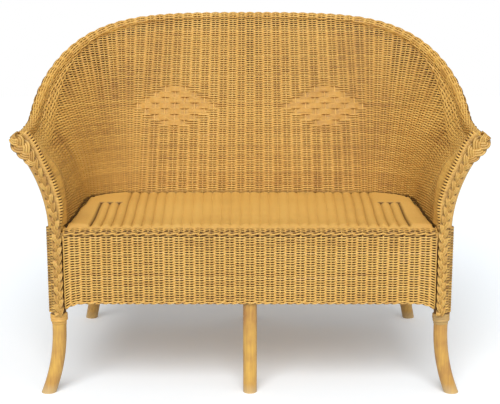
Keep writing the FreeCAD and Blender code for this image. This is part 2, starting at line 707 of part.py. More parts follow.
def seat_deck():
    """The woven seat, ribbed on top, with rounded rear corners and a slight fall to the rear."""
    body, sketch = body_sketch("deck", "XY_Plane")
    half, corner = size("deck_half"), size("deck_corner")
    length = size("deck_back") - size("deck_front")
    up = Vector(0, 0, 1)
    right_circle = Part.Circle(Vector(half - corner, length - corner, 0), up, corner)
    left_circle = Part.Circle(Vector(corner - half, length - corner, 0), up, corner)
    front, right, right_arc, back, left_arc, left = loop_of(sketch, [
        Part.LineSegment(Vector(-half, 0, 0), Vector(half, 0, 0)),
        Part.LineSegment(Vector(half, 0, 0), Vector(half, length - corner, 0)),
        Part.ArcOfCircle(right_circle, 0, math.pi / 2),
        Part.LineSegment(Vector(half - corner, length, 0), Vector(corner - half, length, 0)),
        Part.ArcOfCircle(left_circle, math.pi / 2, math.pi),
        Part.LineSegment(Vector(-half, length - corner, 0), Vector(-half, 0, 0)),
    ], tangent_from=(1, 2, 3, 4))
    level(sketch, (front, back), (right, left))
    sketch.addConstraint(Sketcher.Constraint("PointOnObject", front, 1, -1))
    dimension(sketch, "DistanceX", (-1, 1, front, 2), half, "right_edge", "Sizes.deck_half")
    dimension(sketch, "DistanceX", (front, 1, -1, 1), half, "left_edge", "Sizes.deck_half")
    dimension(sketch, "DistanceY", (-1, 1, back, 1), length, "length", "Sizes.deck_back - Sizes.deck_front")
    dimension(sketch, "Radius", (right_arc,), corner, "right_corner", "Sizes.deck_corner")
    dimension(sketch, "Radius", (left_arc,), corner, "left_corner", "Sizes.deck_corner")
    outline = padded(body, sketch, "Sizes.deck_thickness + Sizes.rib_rise")
    ribbed = document.addObject("Part::Extrusion", "ribbed_board")
    ribbed.Base = rib_profile()
    ribbed.Dir = Vector(0, 1, 0)
    ribbed.LengthFwd = length
    ribbed.Solid = True
    deck = document.addObject("Part::Common", "ribbed_deck")
    deck.Base = outline
    deck.Tool = ribbed
    deck.Placement = FreeCAD.Placement(at(0, size("deck_front"), size("deck_bottom")),
                                       FreeCAD.Rotation(Vector(1, 0, 0), -size("deck_slope")))
    return deck


def front_roll():
    """The weave that turns over the front rail, from the deck round to the apron."""
    body, sketch = body_sketch("roll", "YZ_Plane")
    outer, inner = size("roll_radius"), size("roll_radius") - size("panel_thickness")
    turn = math.radians(size("roll_rear_turn"))
    centre = Vector(0, 0, 0)
    up = Vector(0, 0, 1)
    rear = Vector(math.cos(turn), math.sin(turn), 0)
    outside = sketch.addGeometry(Part.ArcOfCircle(Part.Circle(centre, up, outer), turn, math.pi))
    inside = sketch.addGeometry(Part.ArcOfCircle(Part.Circle(centre, up, inner), turn, math.pi))
    front_edge = sketch.addGeometry(Part.LineSegment(Vector(-outer, 0, 0), Vector(-inner, 0, 0)))
    rear_edge = sketch.addGeometry(Part.LineSegment(rear * inner, rear * outer))
    for joint in ((outside, 2, front_edge, 1), (front_edge, 2, inside, 2), (inside, 1, rear_edge, 1),
                  (rear_edge, 2, outside, 1), (outside, 3, -1, 1), (inside, 3, -1, 1)):
        sketch.addConstraint(Sketcher.Constraint("Coincident", *joint))
    level(sketch, (front_edge,), ())
    dimension(sketch, "Radius", (outside,), outer, "outside", "Sizes.roll_radius")
    dimension(sketch, "Radius", (inside,), inner, "inside", "Sizes.roll_radius - Sizes.panel_thickness")
    sketch.addConstraint(Sketcher.Constraint("PointOnObject", outside, 2, -1))
    dimension(sketch, "Angle", (rear_edge,), turn, "rear_turn", "Sizes.roll_rear_turn * 1 deg")
    sketch.addConstraint(Sketcher.Constraint("PointOnObject", -1, 1, rear_edge))
    body.Placement.Base = at(-size("front_panel_half"), 0, size("rail_height"))
    return padded(body, sketch, "2 * Sizes.front_panel_half")


def front_apron():
    """The woven apron below the front roll, whose lower corners hang down at the posts."""
    body, sketch = body_sketch("apron", "XZ_Plane")
    half, top, bottom = size("front_panel_half"), size("rail_height"), size("apron_bottom")
    droop, run = size("apron_droop"), size("apron_droop_run")
    bend = (droop ** 2 + run ** 2) / (2 * droop)
    turn = math.asin(run / bend)
    out = Vector(0, 0, 1)
    right_circle = Part.Circle(Vector(half - run, bottom - bend, 0), out, bend)
    left_circle = Part.Circle(Vector(run - half, bottom - bend, 0), out, bend)
    right_arc, edge, left_arc, left, upper, right = loop_of(sketch, [
        Part.ArcOfCircle(right_circle, math.pi / 2 - turn, math.pi / 2),
        Part.LineSegment(Vector(half - run, bottom, 0), Vector(run - half, bottom, 0)),
        Part.ArcOfCircle(left_circle, math.pi / 2, math.pi / 2 + turn),
        Part.LineSegment(Vector(-half, bottom - droop, 0), Vector(-half, top, 0)),
        Part.LineSegment(Vector(-half, top, 0), Vector(half, top, 0)),
        Part.LineSegment(Vector(half, top, 0), Vector(half, bottom - droop, 0)),
    ], tangent_from=(0, 1))
    level(sketch, (edge, upper), (left, right))
    dimension(sketch, "DistanceX", (-1, 1, upper, 2), half, "right_edge", "Sizes.front_panel_half")
    dimension(sketch, "DistanceX", (upper, 1, -1, 1), half, "left_edge", "Sizes.front_panel_half")
    dimension(sketch, "DistanceY", (-1, 1, upper, 1), top, "top", "Sizes.rail_height")
    dimension(sketch, "DistanceY", (-1, 1, edge, 1), bottom, "bottom", "Sizes.apron_bottom")
    dimension(sketch, "DistanceX", (edge, 1, right, 1), run, "right_run", "Sizes.apron_droop_run")
    dimension(sketch, "DistanceX", (left, 1, edge, 2), run, "left_run", "Sizes.apron_droop_run")
    dimension(sketch, "DistanceY", (right, 2, edge, 1), droop, "right_droop", "Sizes.apron_droop")
    dimension(sketch, "DistanceY", (left, 1, edge, 2), droop, "left_droop", "Sizes.apron_droop")
    body.Placement.Base = at(0, size("panel_thickness") - size("roll_radius"), 0)
    return padded(body, sketch, "Sizes.panel_thickness")


keep("seat_deck", seat_deck())
keep("seat_front_roll", front_roll())
keep("front_apron", front_apron())


# Rope-like edges: a twisted wale under the front roll, hems below the weave and the skirt's upper border
def front_wale():
    above = size("wale_height") - size("rail_height")
    depth = -math.sqrt(size("roll_radius") ** 2 - above ** 2) - size("rope_radius")
    half = size("front_panel_half")
    return straight_pole("wale", at(-half, depth, size("wale_height")), at(half, depth, size("wale_height")),
                         "Sizes.rope_radius")


def apron_hem():
    """Follows the apron's lower edge, drooping corners included."""
    half, run, droop = size("front_panel_half"), size("apron_droop_run"), size("apron_droop")
    depth = size("panel_thickness") / 2 - size("roll_radius")
    height = size("apron_bottom") - size("rope_radius")
    bend = (droop ** 2 + run ** 2) / (2 * droop)

    def bent(x):
        past = max(0, abs(x) - half + run)
        return at(x, depth, height - bend + math.sqrt(bend ** 2 - past ** 2))

    straight = half - run
    path = wire_path("apron_hem_path", [
        Part.Arc(bent(-half), bent(-straight - run / 2), bent(-straight)),
        Part.LineSegment(bent(-straight), bent(straight)),
        Part.Arc(bent(straight), bent(straight + run / 2), bent(half)),
    ])
    return bent_pole("apron_rope", path, "Sizes.rope_radius")


def skirt_hem():
    path = u_path("skirt_hem_path", SKIRT_BOTTOM_PLAN, size("apron_bottom") - size("rope_radius"))
    return bent_pole("skirt_rope", path, "Sizes.rope_radius")


def skirt_border():
    """A flat plait that closes the ledge between the skirt's top and the back weave."""
    inner = size("weave_thickness") / 2 + size("ledge_gap")
    outer = size("skirt_half") - size("seat_half") + size("panel_thickness") / 2
    plan = widened(SEAT_PLAN, (inner + outer) / 2)
    section = document.addObject("Part::Ellipse", "ledge_section")
    section.MajorRadius = (outer - inner) / 2
    section.setExpression("MinorRadius", "Sizes.ledge_half_height")
    height = size("skirt_top") + size("ledge_half_height")
    section.Placement = FreeCAD.Placement(at(-plan.half, plan.front, height),
                                          FreeCAD.Rotation(Vector(1, 0, 0), 90))
    ledge = document.addObject("Part::Sweep", "ledge")
    ledge.Sections = [section]
    path = u_path("ledge_path", plan, height)
    ledge.Spine = (path, [f"Edge{number}" for number in range(1, len(path.Shape.Edges) + 1)])
    ledge.Solid = True
    return cut("skirt_border", ledge, [upright_right, upright_left, upright_centre])


keep("seat_edge_wale", front_wale())
keep("apron_hem", apron_hem())
keep("skirt_hem", skirt_hem())
keep("skirt_border", skirt_border())


# Screws that hold the poles together
def screw(head, direction, length):
    """A screw whose head is sunk below a point of a pole's surface and which runs in a direction."""
    sunk = head + direction * size("screw_recess")
    shank = Part.makeCylinder(size("screw_radius"), length, sunk, direction)
    top = Part.makeCylinder(size("screw_head_radius"), size("screw_head_length"), sunk, direction)
    return shank.fuse(top).removeSplitter()


def frame_screws():
    post, radius = size("post_half"), size("pole_radius")
    length = size("screw_length")
    backwards, forwards, downwards = Vector(0, 1, 0), Vector(0, -1, 0), Vector(0, 0, -1)
    hoop_top = size("hoop_height") + size("hoop_radius")
    hoop_chord = math.sqrt(radius ** 2 - (post - HOOP_PLAN.half) ** 2)
    shapes = []
    for side in (1, -1):
        inwards = Vector(-side, 0, 0)
        for height in (size("rail_height"), size("lower_height")):
            shapes.append(screw(at(side * (post + radius), 0, height), inwards, length))
        shapes.append(screw(at(side * HOOP_PLAN.half, -hoop_chord, size("hoop_height")), backwards, length))
        shapes.append(screw(at(side * leg_x, leg_depth, hoop_top), downwards, length))
    shapes.append(screw(at(0, HOOP_PLAN.back, hoop_top), downwards, length))
    for number in range(len(BEARERS)):
        x = (number - (len(BEARERS) - 1) / 2) * size("bearer_pitch")
        shapes.append(screw(at(x, -size("rail_radius"), size("rail_height")), backwards, length))
        shapes.append(screw(at(x, HOOP_PLAN.back + size("hoop_radius"), size("hoop_height")), forwards, length))
    group = document.addObject("Part::Feature", "screws")
    group.Shape = Part.makeCompound(shapes)
    return group


screws = frame_screws()
keep("frame_screws", screws)
frame_poles = {
    "front_post_right": post_right,
    "front_post_left": post_left,
    "front_centre_leg": centre_leg,
    "rear_leg_right": rear_right,
    "rear_leg_left": rear_left,
    "rear_centre_leg": rear_centre,
    "seat_front_rail": coped_rail,
    "seat_hoop": coped_hoop,
    "lower_hoop": lower_hoop,
    "top_rail": top_rail,
    "apron_rail_right": apron_rail_right,
    "apron_rail_left": apron_rail_left,
}
for bearer_name, pole in zip(BEARERS, bearers):
    frame_poles["seat_bearer_" + bearer_name] = pole
for node, pole in frame_poles.items():
    keep(node, cut(node + "_drilled", pole, [screws]))

# Every object has to be sound before anything is written
document.recompute()
for item in document.Objects:
    if "Invalid" in item.State or "Error" in item.State:
        raise RuntimeError(f"{item.Name} failed: {item.State}")
for node, piece in pieces.items():
    if piece.Shape.isNull() or not piece.Shape.isValid() or not piece.Shape.Solids:
        raise RuntimeError(f"{node} has no sound solid")
os.makedirs("parts", exist_ok=True)
for node, piece in pieces.items():
    piece.Shape.exportStep(f"parts/{node}.step")
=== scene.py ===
"""The looks of a two-seat wicker settee: woven panels strand by strand, on the poles of the solid model.

Metres, +Z up, the settee faces -Y. Depths are measured backwards from the front plane, the vertical
plane through the axes of the front posts. A place runs along the back and the arms, from -1 at the front
of the left arm through 0 at the middle of the back to 1 at the front of the right arm.
"""
import collections
import math

import bpy
import numpy as np
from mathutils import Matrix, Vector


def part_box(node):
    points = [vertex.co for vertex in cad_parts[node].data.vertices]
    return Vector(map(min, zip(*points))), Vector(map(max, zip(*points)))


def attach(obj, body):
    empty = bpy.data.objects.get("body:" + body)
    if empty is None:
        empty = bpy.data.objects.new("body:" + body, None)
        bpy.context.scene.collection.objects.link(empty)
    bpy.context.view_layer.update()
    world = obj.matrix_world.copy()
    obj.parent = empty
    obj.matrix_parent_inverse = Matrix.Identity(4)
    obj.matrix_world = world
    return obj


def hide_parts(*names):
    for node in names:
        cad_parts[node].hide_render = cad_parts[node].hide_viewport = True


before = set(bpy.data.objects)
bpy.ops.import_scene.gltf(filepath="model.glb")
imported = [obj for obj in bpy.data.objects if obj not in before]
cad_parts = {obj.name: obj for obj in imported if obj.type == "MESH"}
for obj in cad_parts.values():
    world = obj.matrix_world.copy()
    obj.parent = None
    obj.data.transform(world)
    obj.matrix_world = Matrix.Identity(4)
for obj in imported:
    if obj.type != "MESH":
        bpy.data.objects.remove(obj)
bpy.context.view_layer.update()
rng = np.random.default_rng(seed=20)

# Half the width, the same at the front, the back's depth, the corners' radius and the front's depth
Plan = collections.namedtuple("Plan", "half front_half back corner front")

# Sizes that follow the solid model
FRONT = -0.3205
SEAT_PLAN = Plan(0.464, 0.464, 0.520, 0.140, 0.021)
RIM_PLAN = Plan(0.586, 0.560, 0.655, 0.2875, 0.021)
TOP_PLAN = Plan(0.578, 0.552, 0.647, 0.2795, 0.021)
SKIRT_TOP_PLAN = Plan(0.497, 0.497, 0.557, 0.177, 0.016)
SKIRT_LOW_PLAN = Plan(0.497, 0.497, 0.589, 0.118, 0.016)
SEAT_BASE = 0.412
RIM_ARM_HEIGHT = 0.6435
RIM_TOP_HEIGHT = 0.9135
RIM_RISE_FROM = 0.865
RIM_RISE_LENGTH = 0.3145
RIM_TIP_RISE = 0.009
RIM_TIP_SHARE = 0.85
RIM_RADIUS = 0.0125
ARM_CURVE = 2.1
BACK_CURVE = 1.2
FRONT_CURVE = 4.5
FRONT_CURVE_FROM = 0.8
POST_HALF = 0.4805
POLE_RADIUS = 0.0175
WRAP_RADIUS = 0.0187
COLLAR_TOP = 0.210
FLARE_HEIGHT = 0.415
TIP_OUT = 0.0895
TIP_HEIGHT = 0.656
RAIL_HEIGHT = 0.408
APRON_HALF = 0.460
APRON_TOP = 0.4145
APRON_BOTTOM = 0.242
APRON_SETBACK = 0.020
DECK_BACK = 0.511
DECK_CORNER = 0.131
DECK_SLOPE = math.tan(math.radians(1.6))
SKIRT_TOP = 0.422
LEDGE_HEIGHT = 0.428
LEDGE_WIDEN = 0.02275

# Sizes of the strands, and of what departs a little from the solids
APRON_DROOP = 0.0140
APRON_DROOP_RUN = 0.045
HEM_HEIGHT = 0.2418
HEM_RADIUS = 0.0019
HEM_CANE = 0.0021
HEM_PERIOD = 0.040
STAKES_PER_HALF = 40
STAKE_LEVEL = 0.75
STAKE_STRETCH = 0.04
STAKE_RADIUS = 0.0022
CANE_RADIUS = 0.0013
FLAT_CANE = 0.0012
PACKED = 0.64
REAR_SPREAD = 0.9
FIELD_PITCH = 0.0032
FIELD_OVERLAP = 0.002
DIAMOND_STAKE = 8
DIAMOND_STAKE_WARP = 0.0042
DIAMOND_HEIGHT = 0.660
DIAMOND_BANDS = 3
DIAMOND_BAND_HEIGHT = 0.0165
DIAMOND_HALF_HEIGHT = 0.0515
BAND_WIDTH = 0.046
BAND_PLACES = (0.40, 0.60)
HOLE_ZONE = 0.030
HOLE_ZONE_WIDER = 0.020
LOOSE_STAKES = (0, 16, 17)
LOOSE_HEIGHTS = (0.68, 0.80)
BAND_LIFT = 0.0038
BAND_PITCH = 0.0029
ROLL_RADIUS = 0.0108
ROLL_START = math.radians(-15)
ROLL_SMOOTH_FROM = math.radians(23)
ROLL_GROOVE_FROM = math.radians(132)
ROLL_GROOVE_TO = math.radians(164)
ROLL_END = math.radians(200)
FLAP_LENGTH = 0.040
FLAP_GAP = 0.0125
APRON_STAKES_PER_HALF = 18
APRON_EVEN = 0.976
APRON_ROWS = 55
ROLL_HOLE_ROWS = (1, 2)
ROLL_HOLES = 1.6
WALE_PERIOD = APRON_HALF / 9
WALE_ANGLE = math.radians(26)
WALE_OUT = 0.025
PLAIT_SETBACK = 0.0242
PLAIT_HALF_WIDTH = 0.0115
PLAIT_INWARD = 0.0050
PLAIT_ARM_INWARD = 0.0022
PLAIT_TIP_HALF_WIDTH = 0.0225
PLAIT_END_HALF_WIDTH = 0.0120
PLAIT_SWELL_FROM = 0.095
PLAIT_SWELL_TO = 0.025
PLAIT_HALF_DEPTH = 0.0055
PLAIT_PERIOD = 0.067
TIP_ROUND = 0.005
TIP_FOLD_BACK = 0.018
WRAP_PITCH = 0.0045
WRAP_GAP_TURN = math.radians(35)
BINDING_LOW = 0.1785
BINDING_TOP = 0.2130
BINDING_TURNS = 4
BINDING_SWELL = 0.0022
LADDER_FROM = 0.226
LADDER_PITCH = 0.0035
LADDER_STAKE = 3.0
LADDER_SLIT = 0.8
LADDER_END = 0.986
SEAT_PITCH = 0.0030
SEAT_DIP = 0.0045
SEAT_TOP = 0.4328
SEAT_DIP_DEPTH = 0.15
SEAT_DIP_WIDTH = 0.09
SEAT_REAR_FALL = 0.003
SEAT_HALF = 0.4575
# Painted shadow on the back weave just above the seat: none from the first height up, full below the second
JOINT_SHADOW = (0.0030, 0.0005)
RIB_PITCH = 0.0253
RIB_RISE = 0.0090
RIB_FAN = 0.06
FAN_DEPTH = 0.18
RIBS_PER_HALF = 16
RIB_HALF = RIBS_PER_HALF * RIB_PITCH
RIB_STOPS = np.array([0, 0.06, 0.18, 0.5, 0.82, 0.94])
SHORT_RIBS = 3
SHORT_RIB_DEPTH = 0.33
SKIRT_STAKES_PER_HALF = 40
SKIRT_PITCH = 0.0030
SKIRT_WRAP = 0.0205
SKIRT_END = 1.05
SKIRT_DROOP = 0.0260
SKIRT_WOVEN_TOP = 0.4310
HOLE_DEPTH = 0.72
HOLE_SPREAD = 0.25
SWING = STAKE_RADIUS + 0.5 * CANE_RADIUS
STAKE_SHADE = 0.6
TIGHT_WANDER = 0.0002
BAND_LIFT_RUN = 0.008
ROLL_JOIN_BELOW = 0.004
ROLL_JOIN_ABOVE = 0.002
FLAP_JOIN = 0.012
FACING_MIDDLE = 0.85
FACING_TURN = 1.2
MAP_MARGIN = 0.04

# How finely curves and strands are made
SIDES = 6
SAMPLES = 4
PLAN_POINTS = 400
STEP = 1e-4
SLOPE_STEP = 0.01
TINY = 1e-6


def unit(vectors):
    """Vectors of length one."""
    return vectors / np.linalg.norm(vectors, axis=-1, keepdims=True)


def run_along(path):
    """Distance from the start of a path at each of its points."""
    return np.concatenate([[0], np.cumsum(np.linalg.norm(np.diff(path, axis=0), axis=1))])


def smooth(low, high, value):
    """0 at low and before it, 1 at high and past it, with an easy curve between; low may be the larger."""
    share = np.clip((value - low) / (high - low), 0, 1)
    return share * share * (3 - 2 * share)


def at(x, depth, height):
    """Points given by their depth behind the front plane."""
    return np.stack(np.broadcast_arrays(x, FRONT + np.asarray(depth), height), axis=-1).astype(float)


def zone_ends(plan):
    """Shares of half a plan's length at which its straight back and its corner end."""
    back = plan.half - plan.corner
    corner = plan.corner * math.pi / 2
    length = back + corner + plan.back - plan.corner - plan.front
    return back / length, (back + corner) / length


BACK_END, CORNER_END = zone_ends(SEAT_PLAN)


def plan_point(plan, place):
    """x and depth on a plan."""
    along = np.abs(place)
    turn = np.clip((along - BACK_END) / (CORNER_END - BACK_END), 0, 1) * math.pi / 2
    side = np.maximum((along - CORNER_END) / (1 - CORNER_END), 0)
    x = (plan.half - plan.corner) * np.minimum(along / BACK_END, 1) + plan.corner * np.sin(turn)
    x = x + (plan.front_half - plan.half) * side ** 2
    depth = plan.back - plan.corner * (1 - np.cos(turn)) - (plan.back - plan.corner - plan.front) * side
    return np.copysign(x, place), depth


def rim_height(place):
    """Height of the top rail's axis."""
    along = np.abs(place)
    back = RIM_PLAN.half - RIM_PLAN.corner
    corner = RIM_PLAN.corner * math.pi / 2
    side = RIM_PLAN.back - RIM_PLAN.corner - RIM_PLAN.front
    travelled = back * np.minimum(along / BACK_END, 1)
    travelled = travelled + corner * np.clip((along - BACK_END) / (CORNER_END - BACK_END), 0, 1)
    travelled = travelled + side * np.maximum((along - CORNER_END) / (1 - CORNER_END), 0)
    climbed = np.maximum(RIM_RISE_FROM - travelled, 0)
    rise = 1 - np.exp(-(climbed / RIM_RISE_LENGTH) ** 2)
    tip = RIM_TIP_RISE * smooth(RIM_TIP_SHARE, 1, along)
    return RIM_ARM_HEIGHT + (RIM_TOP_HEIGHT - RIM_ARM_HEIGHT) * rise + tip


def rim_axis(place):
    """Points of the top rail's axis."""
    x, depth = plan_point(RIM_PLAN, place)
    return at(x, depth, rim_height(place))


def rim_stretch(place):
    """How much further apart, measured upwards, things are on the sloping rail."""
    run = rim_axis(place + SLOPE_STEP) - rim_axis(place - SLOPE_STEP)
    return np.hypot(1, run[..., 2] / np.hypot(run[..., 0], run[..., 1]))


def rim_underside(place):
    """Height of the rolled border's underside."""
    return rim_height(place) - RIM_RADIUS * rim_stretch(place)


def field_point(place, height):
    """The middle of the back and arm weave."""
    share = np.maximum((height - SEAT_BASE) / (rim_underside(place) - SEAT_BASE), TINY)
    bend = smooth(BACK_END, CORNER_END, np.abs(place))
    hug = smooth(FRONT_CURVE_FROM, 1, np.abs(place))
    curve = BACK_CURVE + (ARM_CURVE - BACK_CURVE) * bend + (FRONT_CURVE - ARM_CURVE) * hug
    lean = np.minimum(share, 1) ** curve
    base_x, base_depth = plan_point(SEAT_PLAN, place)
    top_x, top_depth = plan_point(TOP_PLAN, place)
    return at(base_x + (top_x - base_x) * lean, base_depth + (top_depth - base_depth) * lean, height)


def band_width(place):
    """How far the border's own rows reach below the rail; there are none at the middle of the back."""
    return BAND_WIDTH * smooth(*BAND_PLACES, np.abs(place))


def border_point(place, travel):
    """The border: up the band below the rail, over the rail and down the flap behind it."""
    stretch = rim_stretch(place)
    axis = rim_axis(place)
    run = unit(rim_axis(place + STEP) - rim_axis(place - STEP))
    level = run * [1, 1, 0]
    inward = unit(np.cross(level, [0, 0, 1]))
    upward = np.cross(inward, run)
    over = np.clip((travel - BAND_WIDTH) / ROLL_RADIUS + ROLL_START, ROLL_START, ROLL_END)
    turned = inward * np.cos(over)[..., None] + upward * np.sin(over)[..., None]
    low_edge = axis[..., 2] + ROLL_RADIUS * math.sin(ROLL_START) * stretch
    band = field_point(place, low_edge - np.maximum(BAND_WIDTH - travel, 0) * stretch)
    rows_from = BAND_WIDTH - band_width(place)
    band = band + inward * (BAND_LIFT * smooth(0, BAND_LIFT_RUN, travel - rows_from))[..., None]
    hang = np.maximum(travel - BAND_WIDTH - ROLL_RADIUS * (ROLL_END - ROLL_START), 0)
    flap_top = axis[..., 2] + ROLL_RADIUS * math.sin(ROLL_END)
    flap = field_point(place, flap_top - hang * stretch) - inward * FLAP_GAP
    roll = axis + turned * ROLL_RADIUS
    to_roll = smooth(BAND_WIDTH - ROLL_JOIN_BELOW, BAND_WIDTH + ROLL_JOIN_ABOVE, travel)[..., None]
    to_flap = smooth(0, FLAP_JOIN, hang)[..., None]
    front = band + (roll - band) * to_roll
    return front + (flap - front) * to_flap


def skirt_point(place, height):
    """The middle of the skirt."""
    share = (height - APRON_BOTTOM) / (SKIRT_TOP - APRON_BOTTOM)
    low_x, low_depth = plan_point(SKIRT_LOW_PLAN, place)
    top_x, top_depth = plan_point(SKIRT_TOP_PLAN, place)
    return at(low_x + (top_x - low_x) * share, low_depth + (top_depth - low_depth) * share, height)


def surface_frame(surface, place, level):
    """Points of a surface and its normals on the seat's side."""
    along = surface(place + STEP, level) - surface(place - STEP, level)
    up = surface(place, level + STEP) - surface(place, level - STEP)
    return surface(place, level), unit(np.cross(along, up))


def new_object(name, data):
    """A new object in the scene."""
    thing = bpy.data.objects.new(name, data)
    bpy.context.scene.collection.objects.link(thing)
    return thing


class Strands:
    """Strands of cane that become one mesh."""

    def __init__(self):
        self.points = []
        self.tones = []
        self.runs = []
        self.painted_shade = []
        self.corners = []
        self.totals = []
        self.maps = []
        self.strips = []
        self.count = 0

    def add(self, path, normal, half_width, half_thickness, tone, depth=0.0, painted_shading=1.0, shadow=0.0):
        """One strand along a path; its flat side faces the normal.

        Depth is -1 where the strand lies behind its neighbours and 1 where it lies in front of them. The
        sides of it that face the small holes beside a stake get painted shade, as strong as the argument
        after depth says, where shade would fall in the holes; shadow is painted shade all round the strand.
        """
        number = len(path)
        tangent = np.gradient(path, axis=0)
        side = unit(np.cross(tangent, np.broadcast_to(normal, path.shape)))
        up = unit(np.cross(side, tangent))
        angles = np.arange(SIDES) * 2 * math.pi / SIDES
        across = np.broadcast_to(half_width, number)[:, None] * np.cos(angles)
        above = np.broadcast_to(half_thickness, number)[:, None] * np.sin(angles)
        rings = path[:, None] + across[..., None] * side[:, None] + above[..., None] * up[:, None]
        run = run_along(path)
        grid = self.count + np.arange(number * SIDES).reshape(number, SIDES)
        following = grid[1:]
        starting = grid[:-1]
        beside = np.roll(starting, -1, axis=1)
        beyond = np.roll(following, -1, axis=1)
        quads = np.stack([starting, following, beyond, beside], axis=-1).reshape(-1, 4)
        rows = len(starting)
        along = np.repeat(np.arange(rows), SIDES) / rows
        around = np.tile(np.arange(SIDES), rows) / SIDES
        u = along[:, None] + np.array([0, 1, 1, 0]) / rows
        v = around[:, None] + np.array([0, 0, 1, 1]) / SIDES
        self.corners.append(quads.ravel())
        self.totals.append(np.full(len(quads), 4))
        self.maps.append(np.stack([u, v], axis=-1).reshape(-1, 2))
        self.corners.append(np.concatenate([grid[0], grid[-1][::-1]]))
        self.totals.append(np.full(2, SIDES))
        cap = np.stack([0.5 / rows * (1 + np.cos(angles)), 0.5 + 0.5 * np.sin(angles)], axis=-1)
        self.maps.append(np.concatenate([cap, [1, 0] + [-1, 1] * cap]))
        self.strips.append(np.full(quads.size + 2 * SIDES, len(self.points)))
        self.points.append(rings.reshape(-1, 3))
        self.tones.append(np.repeat(np.broadcast_to(tone, number), SIDES))
        self.runs.append(np.repeat(run, SIDES))
        depths = np.broadcast_to(depth, number)[:, None]
        # Painted shade: the sides of a strand that face the holes beside a stake are darkened where shade
        # would fall.
        beside_stake = np.exp(-((np.abs(depths) - HOLE_DEPTH) / HOLE_SPREAD) ** 2)
        facing = np.clip(FACING_MIDDLE - FACING_TURN * np.sign(depths) * np.sin(angles), 0, 1)
        painted_shade = np.broadcast_to(painted_shading, number)[:, None] * beside_stake * facing
        self.painted_shade.append(np.maximum(painted_shade, np.broadcast_to(shadow, number)[:, None]).ravel())
        self.count += number * SIDES

    def build(self, name, material, slot, *nodes):
        """The mesh object, riding on the frame in place of some of its nodes."""
        points = np.concatenate(self.points)
        corners = np.concatenate(self.corners)
        totals = np.concatenate(self.totals)
        mesh = bpy.data.meshes.new(name)
        mesh.vertices.add(len(points))
        mesh.vertices.foreach_set("co", points.ravel())
        mesh.loops.add(len(corners))
        mesh.loops.foreach_set("vertex_index", corners)
        mesh.polygons.add(len(totals))
        mesh.polygons.foreach_set("loop_start", np.concatenate([[0], np.cumsum(totals)[:-1]]))
        mesh.polygons.foreach_set("loop_total", totals)
        mesh.polygons.foreach_set("use_smooth", np.ones(len(totals), bool))
        mesh.update(calc_edges=True)
        # The last of these attributes carries painted shade for holes, creases and gaps.
        for label, values in (("tone", self.tones), ("run", self.runs), ("painted_shade", self.painted_shade)):
            attribute = mesh.attributes.new(label, "FLOAT", "POINT")
            attribute.data.foreach_set("value", np.concatenate(values).astype(np.float32))
        places = np.concatenate(self.maps)
        strips = np.concatenate(self.strips)
        within = MAP_MARGIN + (1 - 2 * MAP_MARGIN) * places[:, 1]
        places[:, 1] = (strips + within) / len(self.points)
        layer = mesh.uv_layers.new(name="OFBake")
        layer.uv.foreach_set("vector", places.astype(np.float32).ravel())
        mesh.materials.append(material)
        piece = new_object(name, mesh)
        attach(piece, "root")
        if nodes:
            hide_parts(*nodes)


def tone():
    """A strand's own shade, from 0 to 1."""
    return rng.uniform()


def plain_signs(order, row):
    """Plain weave: in front of every second stake, and the other way round in the next row."""
    return np.where((order + row) % 2 == 0, 1.0, -1.0)


def weave_row(strands, surface, places, level, signs, half_width, shade,
              wander=0.0, painted_shading=1.0, shadow=0.0):
    """One weaver; it passes each stake in front where the stake's sign is 1, and behind where it is -1."""
    stops = np.arange(len(places))
    fine = np.linspace(0, len(places) - 1, (len(places) - 1) * SAMPLES + 1)
    before = np.minimum(fine.astype(int), len(places) - 2)
    ease = (1 - np.cos(math.pi * (fine - before))) / 2
    depth = signs[before] * (1 - ease) + signs[before + 1] * ease

    def between(values):
        return np.interp(fine, stops, np.broadcast_to(values, len(places)))

    height = between(level + wander * rng.uniform(-1, 1, len(places)))
    point, normal = surface_frame(surface, between(places), height)
    widths = between(half_width) * (1 + REAR_SPREAD * np.maximum(-depth, 0))
    path = point + normal * (SWING * depth)[:, None]
    strands.add(path, normal, widths, CANE_RADIUS, between(shade), depth, between(painted_shading), between(shadow))


def stake(strands, surface, place, low, high, points):
    """One stake, up a surface at one place."""
    point, normal = surface_frame(surface, np.full(points, place), np.linspace(low, high, points))
    strands.add(point, normal, STAKE_RADIUS, STAKE_RADIUS, STAKE_SHADE + (1 - STAKE_SHADE) * tone())


def even_places(count, low_plan, top_plan, level, stretch=0.0, warp=0.0, warped=1):
    """Places of stakes that are evenly apart at one level between two plans.

    A stretch sets them further apart towards the middle of the back, and a warp shifts the first few.
    """
    place = np.linspace(0, 1, PLAN_POINTS)
    low = np.stack(plan_point(low_plan, place), axis=-1)
    top = np.stack(plan_point(top_plan, place), axis=-1)
    length = run_along(low + (top - low) * level)
    order = np.arange(count + 1)
    share = order / count
    travel = length[-1] * (share + stretch * share * (1 - share))
    travel = travel - np.where(order < warped, warp * np.sin(2 * math.pi * order / warped), 0)
    half = np.interp(travel, length, place)
    return np.concatenate([-half[:0:-1], half])


STAKES = even_places(STAKES_PER_HALF, SEAT_PLAN, TOP_PLAN, STAKE_LEVEL, STAKE_STRETCH, DIAMOND_STAKE_WARP,
                     2 * DIAMOND_STAKE)
ORDER = np.arange(len(STAKES)) - STAKES_PER_HALF


